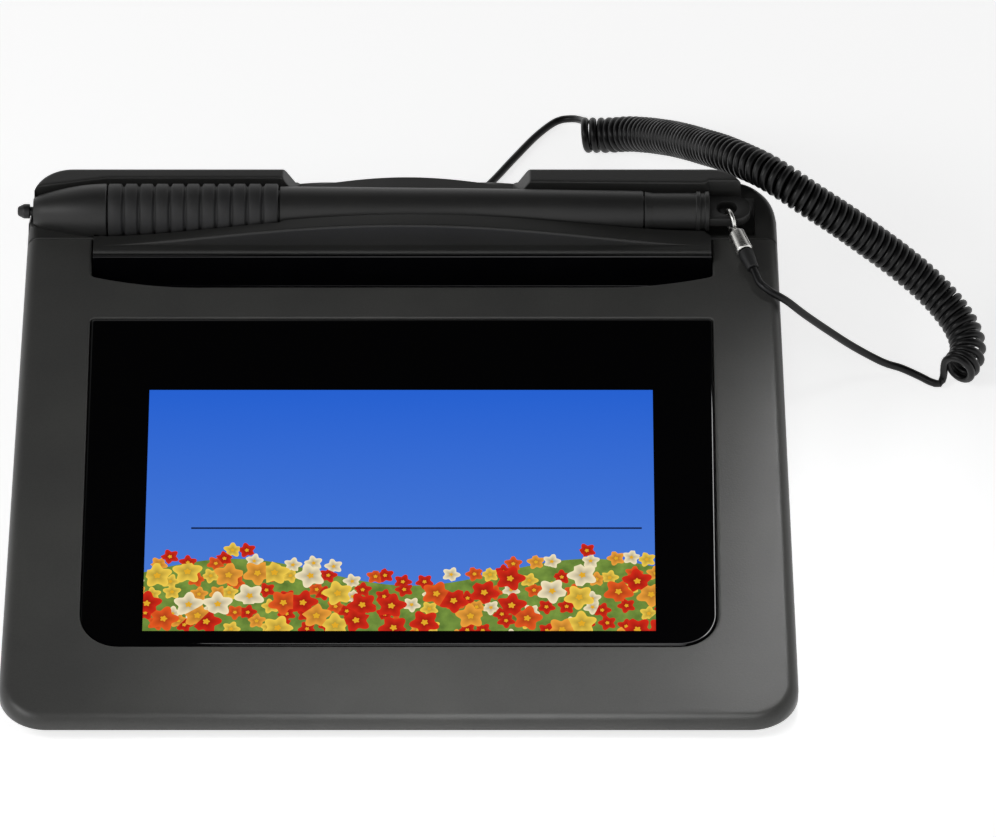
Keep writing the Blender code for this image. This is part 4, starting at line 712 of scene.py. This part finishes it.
def screen_picture(name, shader_settings):
    """The display's picture on the piece's own UV, 0 to 1 across the screen: a blue sky that pales
    downwards, a signing line, and a band of five-petalled flowers with a waved edge. Black outside."""
    made, tree, shader = finish_named(name, shader_settings)
    place = add(tree, "ShaderNodeUVMap", {"uv_map": "screen"}).outputs["UV"]
    parts = add(tree, "ShaderNodeSeparateXYZ", {}, {"Vector": place}).outputs
    across, up = parts["X"], parts["Y"]
    sky_blue = add(tree, "ShaderNodeMix", {"data_type": "RGBA", 6: linear("4f7fd6"), 7: linear("2560d0")},
                   {0: up})
    # Waved edge: a sine of the distance across
    wave = maths(tree, "SINE", maths(tree, "MULTIPLY", across, wave_turns))
    ground = maths(tree, "LESS_THAN", up, maths(tree, "MULTIPLY_ADD", wave, wave_rise, bank_height))
    millimetres = add(tree, "ShaderNodeMapping", {"Scale": (screen_wide, screen_long, 1)},
                      {"Vector": place})
    leaves = add(tree, "ShaderNodeTexNoise", {"Scale": 0.35, "Detail": 3.0},
                 {"Vector": millimetres.outputs["Vector"]})
    green = add(tree, "ShaderNodeMix", {"data_type": "RGBA", 6: linear("2c4a1c"), 7: linear("8fae4c")},
                {0: leaves.outputs["Fac"]})
    view = add(tree, "ShaderNodeMix", {"data_type": "RGBA"},
               {0: ground, 6: sky_blue.outputs[2], 7: green.outputs[2]})
    # Blossoms: five-petalled flowers about the points of two jittered lattices, 4.2 mm and 6.4 mm apart, each
    # with its own colour and turn. A flower stands only where its own middle is below its lattice's edge,
    # which is the waved edge lifted by a share of the screen.
    for spacing, size, lift in ((4.2, 2.0, 0.045), (6.4, 3.3, -0.02)):
        dots = add(tree, "ShaderNodeTexVoronoi", {"voronoi_dimensions": "2D", "Scale": 1 / spacing,
                                                  "Randomness": 0.8},
                   {"Vector": millimetres.outputs["Vector"]})
        tone = add(tree, "ShaderNodeSeparateColor", {}, {"Color": dots.outputs["Color"]}).outputs
        ramp = add(tree, "ShaderNodeValToRGB", {}, {"Fac": tone["Red"]})
        band = ramp.color_ramp
        band.interpolation = "CONSTANT"
        for stop, shade in zip((0.0, 0.36, 0.56, 0.72, 0.88),
                               ("d42a18", "f2cc4e", "f4e6c0", "e65a22", "f0a23c")):
            mark = band.elements[0] if stop == 0 else band.elements.new(stop)
            mark.color = linear(shade)
        spoke = add(tree, "ShaderNodeVectorMath", {"operation": "SUBTRACT"},
                    {0: millimetres.outputs["Vector"], 1: dots.outputs["Position"]})
        legs = add(tree, "ShaderNodeSeparateXYZ", {}, {"Vector": spoke.outputs["Vector"]}).outputs
        long = add(tree, "ShaderNodeVectorMath", {"operation": "LENGTH"}, {0: spoke.outputs["Vector"]})
        round_turn = maths(tree, "ARCTAN2", legs["Y"], legs["X"])
        own_turn = maths(tree, "MULTIPLY", tone["Blue"], 2 * math.pi)
        petals = maths(tree, "COSINE", maths(tree, "MULTIPLY_ADD", round_turn, 5.0, own_turn))
        reach = maths(tree, "MULTIPLY_ADD", petals, 0.17 * size, 0.83 * size)
        ratio = maths(tree, "DIVIDE", long.outputs["Value"], reach)
        depth_of = add(tree, "ShaderNodeMapRange", {"From Min": 0.2, "To Min": 0.5}, {"Value": ratio})
        shaded = add(tree, "ShaderNodeMix", {"data_type": "RGBA", "blend_type": "MULTIPLY", 0: 1.0},
                     {6: ramp.outputs["Color"], 7: depth_of.outputs["Result"]})
        shaded = add(tree, "ShaderNodeMix", {"data_type": "RGBA", 7: linear("e0a828")},
                     {0: maths(tree, "LESS_THAN", ratio, 0.24), 6: shaded.outputs[2]})
        middle_at = add(tree, "ShaderNodeSeparateXYZ", {}, {"Vector": dots.outputs["Position"]}).outputs
        top = maths(tree, "SINE", maths(tree, "MULTIPLY", middle_at["X"], wave_turns / screen_wide))
        top = maths(tree, "MULTIPLY_ADD", top, wave_rise * screen_long, (bank_height + lift) * screen_long)
        here = maths(tree, "LESS_THAN", ratio, 1.0)
        for tested, limit in ((middle_at["Y"], top), (tone["Green"], 0.85)):
            here = maths(tree, "MULTIPLY", here, maths(tree, "LESS_THAN", tested, limit))
        view = add(tree, "ShaderNodeMix", {"data_type": "RGBA"},
                   {0: here, 6: view.outputs[2], 7: shaded.outputs[2]})

    def within(left, right, low, high):
        """One inside a rectangle of the screen, given by its limits across and up, and nought outside."""
        between = [maths(tree, "MULTIPLY", maths(tree, "GREATER_THAN", place_on, least),
                         maths(tree, "LESS_THAN", place_on, most))
                   for place_on, least, most in ((across, left, right), (up, low, high))]
        return maths(tree, "MULTIPLY", *between)

    # Signing line: dark, 0.45 mm thick, from 9 to 97.5 per cent of the width
    view = add(tree, "ShaderNodeMix", {"data_type": "RGBA", 7: linear("10204a")},
               {0: within(0.09, 0.975, 0.418, 0.425), 6: view.outputs[2]})
    lit = add(tree, "ShaderNodeMix", {"data_type": "RGBA", 6: (0, 0, 0, 1)},
              {0: within(0.0, 1.0, 0.0, 1.0), 7: view.outputs[2]})
    tree.links.new(lit.outputs[2], shader.inputs["Emission Color"])
    return made


def give_screen_uv(mesh):
    """The UV map "screen": 0 to 1 over the 108 by 64 mm display, measured along the sloping face."""
    layer = mesh.uv_layers.new(name="screen")
    spots = np.empty(len(mesh.vertices) * 3)
    mesh.vertices.foreach_get("co", spots)
    corners = np.empty(len(mesh.loops), int)
    mesh.loops.foreach_get("vertex_index", corners)
    spots = spots.reshape(-1, 3)[corners] * 1000 + (0, front_offset, 0)
    along = spots[:, 1] / math.cos(tilt)
    places = np.column_stack((spots[:, 0] / screen_wide + 0.5, (along - screen_near) / screen_long))
    layer.data.foreach_set("uv", places.ravel())


bonded_glass = screen_picture("printed_cover_glass", {
    "Base Color": linear("020203"), "Roughness": 0.06, "Emission Strength": 1.0, "Specular IOR Level": 0.4,
})
glass_rows = [(0.3, 1.6, None), (0.05, 1.6, None), (0, 1.5, None), (0, 0.35, None), (0.08, 0.17, None),
              (0.25, 0.1, None), (0.6, 0.1, None)]
glass_rim = rim(glass_path(0)[::-1], glass_rows, closed=True)
glass = piece("pad_cover_glass", [grid(glass_rim, close_columns=True), filled(glass_rim[-1]),
                                  filled(glass_rim[0])],
              bonded_glass, "base", ["cover_glass"])
give_screen_uv(glass.data)


# Slot strip: a blade of polished acrylic that faces the slot below the pen ledge, with its upper
# edge eased, glued on by its narrow foot. Its near-black colour is painted shade that darkens the slot.
def turned(profile, root, way, sides=48):
    """A profile of radius and distance along the axis, turned about the line from root along way."""
    profile = np.asarray(profile, float)
    side = unit(np.cross(way, (0.1, 0.05, 1)))
    top = np.cross(side, way)
    turn = np.linspace(0, 2 * math.pi, sides, endpoint=False)[None, :, None]
    spokes = np.cos(turn) * side + np.sin(turn) * top
    rings = np.asarray(root) + profile[:, 1, None, None] * way + profile[:, 0, None, None] * spokes
    return grid(rings, close_columns=True)


# Painted shade: the blade is near black so that the slot under the ledge looks as dark as its shadow.
acrylic = moulded("black_acrylic_painted_slot_shade", "050507", "08080b", 0.1, 6.0, 0.01)
blade = softened([(119.7, 20.3), (121.0, 20.3), (121.0, 29.6), (120.2, 29.6), (120.2, 21.1), (119.7, 21.1)],
                 [0, 0, 0.25, 0.3, 0.2, 0.1], 4, closed=True)
strip = np.stack([np.column_stack((np.full(len(blade), side * ledge_half), blade)) for side in (-1, 1)])
piece("pad_slot_strip", [grid(strip, close_columns=True), filled(strip[0]), filled(strip[1])],
      acrylic, "base", ["recess_strip"])


# Pen: a digitiser pen that lies in the trough with its nib to the left. Barrel, nose cone and tail cap
# are injection moulded; the ribbed grip is a silicone sleeve pulled over the barrel's front.
pen_root = np.array((0, pen_y, pen_z))
along_x = np.array((1.0, 0, 0))
pen_plastic = moulded("satin_pen_abs", "252525", "2c2c2b", 0.47, 0.5, 0.03)
pen_rubber = moulded("silicone_grip", "272728", "2f2f2f", 0.6, 0.35, 0.05)
dark_nylon = moulded("dark_nylon", "1c1c1d", "242425", 0.45, 0.5, 0.03)

nib = softened([(0, -63.9), (1, -63.9), (1, -81.1), (1.6, -81.1), (1.6, -82.4), (0.9, -83.8), (0, -83.8)],
               [0, 0.1, 0.1, 0.2, 0.9, 0.7, 0], 8)
piece("pen_nib", [turned(nib, pen_root, along_x)], dark_nylon, "nib", ["nib"])
bulge = np.linspace(0, 1, 14)
cone = np.column_stack((3.1 + 2.9 * np.sin(bulge * math.pi / 2) ** 0.9, -80.3 + 16.0 * bulge))
cone = np.vstack(([(1.3, -76), (1.3, -80.3), (2.8, -80.3)], cone[1:-1],
                  [(6.0, -64.5), (5.85, -64.3), (3.3, -64.3), (3.3, -58.6), (2.9, -58.6), (2.9, -76)]))
piece("pen_nose_cone", [turned(np.vstack((cone, cone[:1])), pen_root, along_x)], pen_plastic, "pen",
      ["nose_cone"])

pitch = 37.0 / 11
grip = [(4.9, -64), (5.7, -64), (6, -63.7)]
for groove in -64 + pitch * np.arange(1, 11):
    grip += [(6, groove - 0.65), (5.93, groove - 0.5), (5.4, groove - 0.2), (5.33, groove),
             (5.4, groove + 0.2), (5.93, groove + 0.5), (6, groove + 0.65)]
grip += [(6, -27.3), (5.7, -27), (4.9, -27), (4.9, -64)]
piece("pen_grip_sleeve", [turned(grip, pen_root, along_x, 64)], pen_rubber, "pen",
      ["grip_sleeve"], sharp=50)

barrel = [(3.6, 52.4), (3.6, -64), (4.6, -64), (4.6, -26.7), (5.2, -26.7), (5.4, -26.5), (5.35, -20),
          (5.0, 15), (4.45, 52.0), (4.3, 52.4), (3.6, 52.4)]
piece("pen_barrel_shell", [turned(barrel, pen_root, along_x, 64)], pen_plastic, "pen",
      ["pen_barrel"])

cap = softened([(0, 46.2), (3.3, 46.2), (3.3, 52.7), (4.3, 52.7), (4.0, 54.5), (4.0, 63.9), (4.35, 63.9),
                (4.35, 64.9), (4.0, 64.9), (4.0, 65.8), (4.35, 65.8), (4.35, 66.8), (0, 66.8)],
               [0, 0.1, 0.05, 0.2, 1, 0.1, 0.25, 0.25, 0.1, 0.1, 0.25, 0.25, 0], 5)
tab = softened([(66.0, -3.8), (75.7, -3.8), (75.7, 3.8), (66.0, 3.8)], [0, 3.4, 3.4, 0], 10, closed=True)
hole = np.column_stack((70.6 + 2.2 * np.cos(ring), 2.2 * np.sin(ring)))
tab_rows = [(0.2, -1.1), (0.06, -1.04), (0, -0.9), (0, 0.9), (0.06, 1.04), (0.2, 1.1)]
tab_rim = np.stack([np.column_stack((inwards(tab, distance, True), np.full(len(tab), height)))
                    for distance, height in tab_rows]) + pen_root
eye_rim = np.stack([np.column_stack((inwards(hole, -distance, True), np.full(len(hole), height)))
                    for distance, height in tab_rows]) + pen_root
piece("pen_tail_cap",
      [turned(cap, pen_root, along_x, 56), grid(tab_rim, close_columns=True),
       grid(eye_rim, close_columns=True), filled(tab_rim[-1], eye_rim[-1]), filled(tab_rim[0], eye_rim[0])],
      pen_plastic, "pen", ["tail_cap"])


# Swivel: a nickel-plated steel ring through the eyelet with a headed shank; the bright barrel spins on
# the shank, and a rubber boot eases the lead out of it.
nickel, tree, shader = finish_named("bright_nickel_plate", {
    "Base Color": linear("eeede9"), "Metallic": 1.0, "Roughness": 0.26,
})
place = add(tree, "ShaderNodeTexCoord", {}).outputs["Object"]
scuffs = add(tree, "ShaderNodeTexNoise", {"Scale": 1000 / 0.6, "Detail": 4.0}, {"Vector": place})
bump = add(tree, "ShaderNodeBump", {"Strength": 0.25, "Distance": 0.00002}, {"Height": scuffs.outputs["Fac"]})
worn = add(tree, "ShaderNodeMapRange", {"To Min": 0.18, "To Max": 0.36}, {"Value": scuffs.outputs["Fac"]})
tree.links.new(worn.outputs["Result"], shader.inputs["Roughness"])
tree.links.new(bump.outputs["Normal"], shader.inputs["Normal"])
turn = np.linspace(0, 2 * math.pi, 40, endpoint=False)
swivel_side = unit(np.cross(swivel_way, (0, 0, 1)))
swivel_top = np.cross(swivel_side, swivel_way)
loop_middle = swivel_root + 2.35 * swivel_way
spokes = (-np.cos(turn)[:, None] * swivel_way + np.sin(turn)[:, None] * swivel_top)
small = np.linspace(0, 2 * math.pi, 14, endpoint=False)
loop = (loop_middle + 2.35 * spokes)[:, None] + 0.5 * (
    np.cos(small)[None, :, None] * spokes[:, None] + np.sin(small)[None, :, None] * swivel_side)
shank = softened([(0, 4.45), (0.8, 4.45), (0.8, 8.8), (1.2, 8.8), (1.2, 9.6), (0, 9.6)],
                 [0, 0.1, 0.1, 0.1, 0.1, 0], 3)
piece("swivel_ring", [grid(loop, close_rows=True, close_columns=True),
                      turned(shank, swivel_root, swivel_way, 24)],
      nickel, "pen", ["swivel_eye"])
shell = softened([(1.1, 6.9), (1.1, 6.0), (1.9, 6.0), (1.9, 11.4), (0, 11.4), (0, 9.9), (1.5, 9.9),
                  (1.5, 6.9), (1.1, 6.9)], [0, 0.1, 0.5, 0.5, 0, 0, 0.1, 0.1, 0], 6)
piece("swivel_shell", [turned(shell, swivel_root, swivel_way, 40)], nickel, "swivel",
      ["swivel_barrel"])
cord_rubber = moulded("black_pvc_boot", "19191a", "222223", 0.5, 0.5, 0.03)
boot = softened([(0, 11.7), (1.7, 11.7), (1.65, 13.0), (1.3, 16.5), (0, 16.5)], [0, 0.25, 0.5, 0.2, 0], 5)
boot_piece = piece("swivel_cord_boot", [turned(boot, swivel_root, swivel_way, 32)], cord_rubber, "swivel",
                   ["cord_boot"])


# Gland: a soft PVC strain relief moulded on the tether, snapped into the back wall. Its tail has rings
# with slots between them, so it bends evenly.
sleeve = [(0, -3.9), (3.5, -3.9), (3.5, -2.5), (2.5, -2.5), (2.5, 0.3), (3.2, 0.3), (3.2, 1.0)]
for step in range(4):
    size = 2.35 - 0.24 * step
    sleeve += [(size, 1.2 + 1.3 * step), (size, 2.0 + 1.3 * step), (size - 0.45, 2.05 + 1.3 * step),
               (size - 0.45, 2.45 + 1.3 * step)]
sleeve = softened(sleeve + [(1.35, 6.5), (1.2, 6.8), (0, 6.8)], 0.12, 3)
relief_root = (gland_end[0], depth, gland_end[2])
relief = piece("tether_strain_relief", [turned(sleeve, relief_root, np.array((0, 1.0, 0)), 36)],
               cord_rubber, "base", ["tether_gland"])


# Carried-over pieces: the base shell, feet, screws, display stack, boards and the pen's electronics keep
# their CAD shapes and get their real finishes.
def dress(material, *names):
    """Gives CAD nodes a finish."""
    for name in names:
        node = frame["nodes"][name]
        for slot in node.material_slots:
            slot.material = material


def plated(name, dark, pale, rough, grain):
    """Plated or pressed metal: crystals of the plating tint it and break up its gloss."""
    made, tree, shader = finish_named(name, {"Metallic": 1.0})
    place = add(tree, "ShaderNodeTexCoord", {}).outputs["Object"]
    cells = add(tree, "ShaderNodeTexVoronoi", {"Scale": 1000 / grain}, {"Vector": place})
    tone = add(tree, "ShaderNodeSeparateColor", {}, {"Color": cells.outputs["Color"]})
    tint = add(tree, "ShaderNodeMix", {"data_type": "RGBA", 6: linear(dark), 7: linear(pale)},
               {0: tone.outputs["Red"]})
    gloss = add(tree, "ShaderNodeMapRange", {"To Min": rough - 0.08, "To Max": rough + 0.08},
                {"Value": tone.outputs["Green"]})
    tree.links.new(tint.outputs[2], shader.inputs["Base Color"])
    tree.links.new(gloss.outputs["Result"], shader.inputs["Roughness"])
    return made


def lined(name, ground, line_colour, spacing, rough, metal=0.0):
    """A board or foil with fine parallel tracks, drawn every few millimetres so that they show."""
    made, tree, shader = finish_named(name, {"Roughness": rough, "Metallic": metal})
    place = add(tree, "ShaderNodeTexCoord", {}).outputs["Object"]
    waves = add(tree, "ShaderNodeTexWave", {"Scale": 1000 / spacing / (2 * math.pi), "Distortion": 2.0,
                                            "Detail Scale": 0.5}, {"Vector": place})
    ramp = add(tree, "ShaderNodeMapRange", {"From Min": 0.75, "From Max": 0.85},
               {"Value": waves.outputs["Fac"]})
    tint = add(tree, "ShaderNodeMix", {"data_type": "RGBA", 6: linear(ground), 7: linear(line_colour)},
               {0: ramp.outputs["Result"]})
    tree.links.new(tint.outputs[2], shader.inputs["Base Color"])
    return made


dress(moulded("base_abs", "242424", "2b2b2b", 0.55, 0.5, 0.05), "base_housing")
dress(moulded("foot_rubber", "161616", "1e1e1e", 0.8, 0.6, 0.06), "foot_front_left", "foot_front_right",
      "foot_rear_left", "foot_rear_right")
dress(moulded("closed_cell_foam", "0c0c0c", "161616", 0.95, 0.8, 0.15), "glass_gasket")
dress(moulded("chip_epoxy", "151515", "1c1c1c", 0.55, 0.3, 0.03), "controller_chip", "memory_chip",
      "tip_switch")
dress(moulded("ferrite_ceramic", "2a2725", "38332f", 0.65, 0.4, 0.03), "ferrite_core")
dress(moulded("opal_acrylic", "e2e4e6", "f0f2f4", 0.5, 2.0, 0.02), "backlight")
dress(plated("zinc_plate", "9b9c98", "b9bab5", 0.38, 1.5), "lcd_frame", "shield_plate", "usb_socket",
      "case_screw_front_left", "case_screw_front_right", "case_screw_rear_left", "case_screw_rear_right",
      "board_screw_1", "board_screw_2", "board_screw_3", "board_screw_4")
dress(lined("solder_masked_board", "0d4420", "1a6a34", 1.6, 0.4), "main_board", "sensor_board",
      "pen_board")
dress(lined("polyimide_flex", "8a4a12", "b5762c", 0.8, 0.35), "display_ribbon")
dress(lined("enamelled_copper", "7a3210", "c4703a", 0.5, 0.3, 1.0), "sensing_coil")
dress(moulded("display_cell", "10254e", "16306a", 0.15, 3.0, 0.005), "lcd_panel")
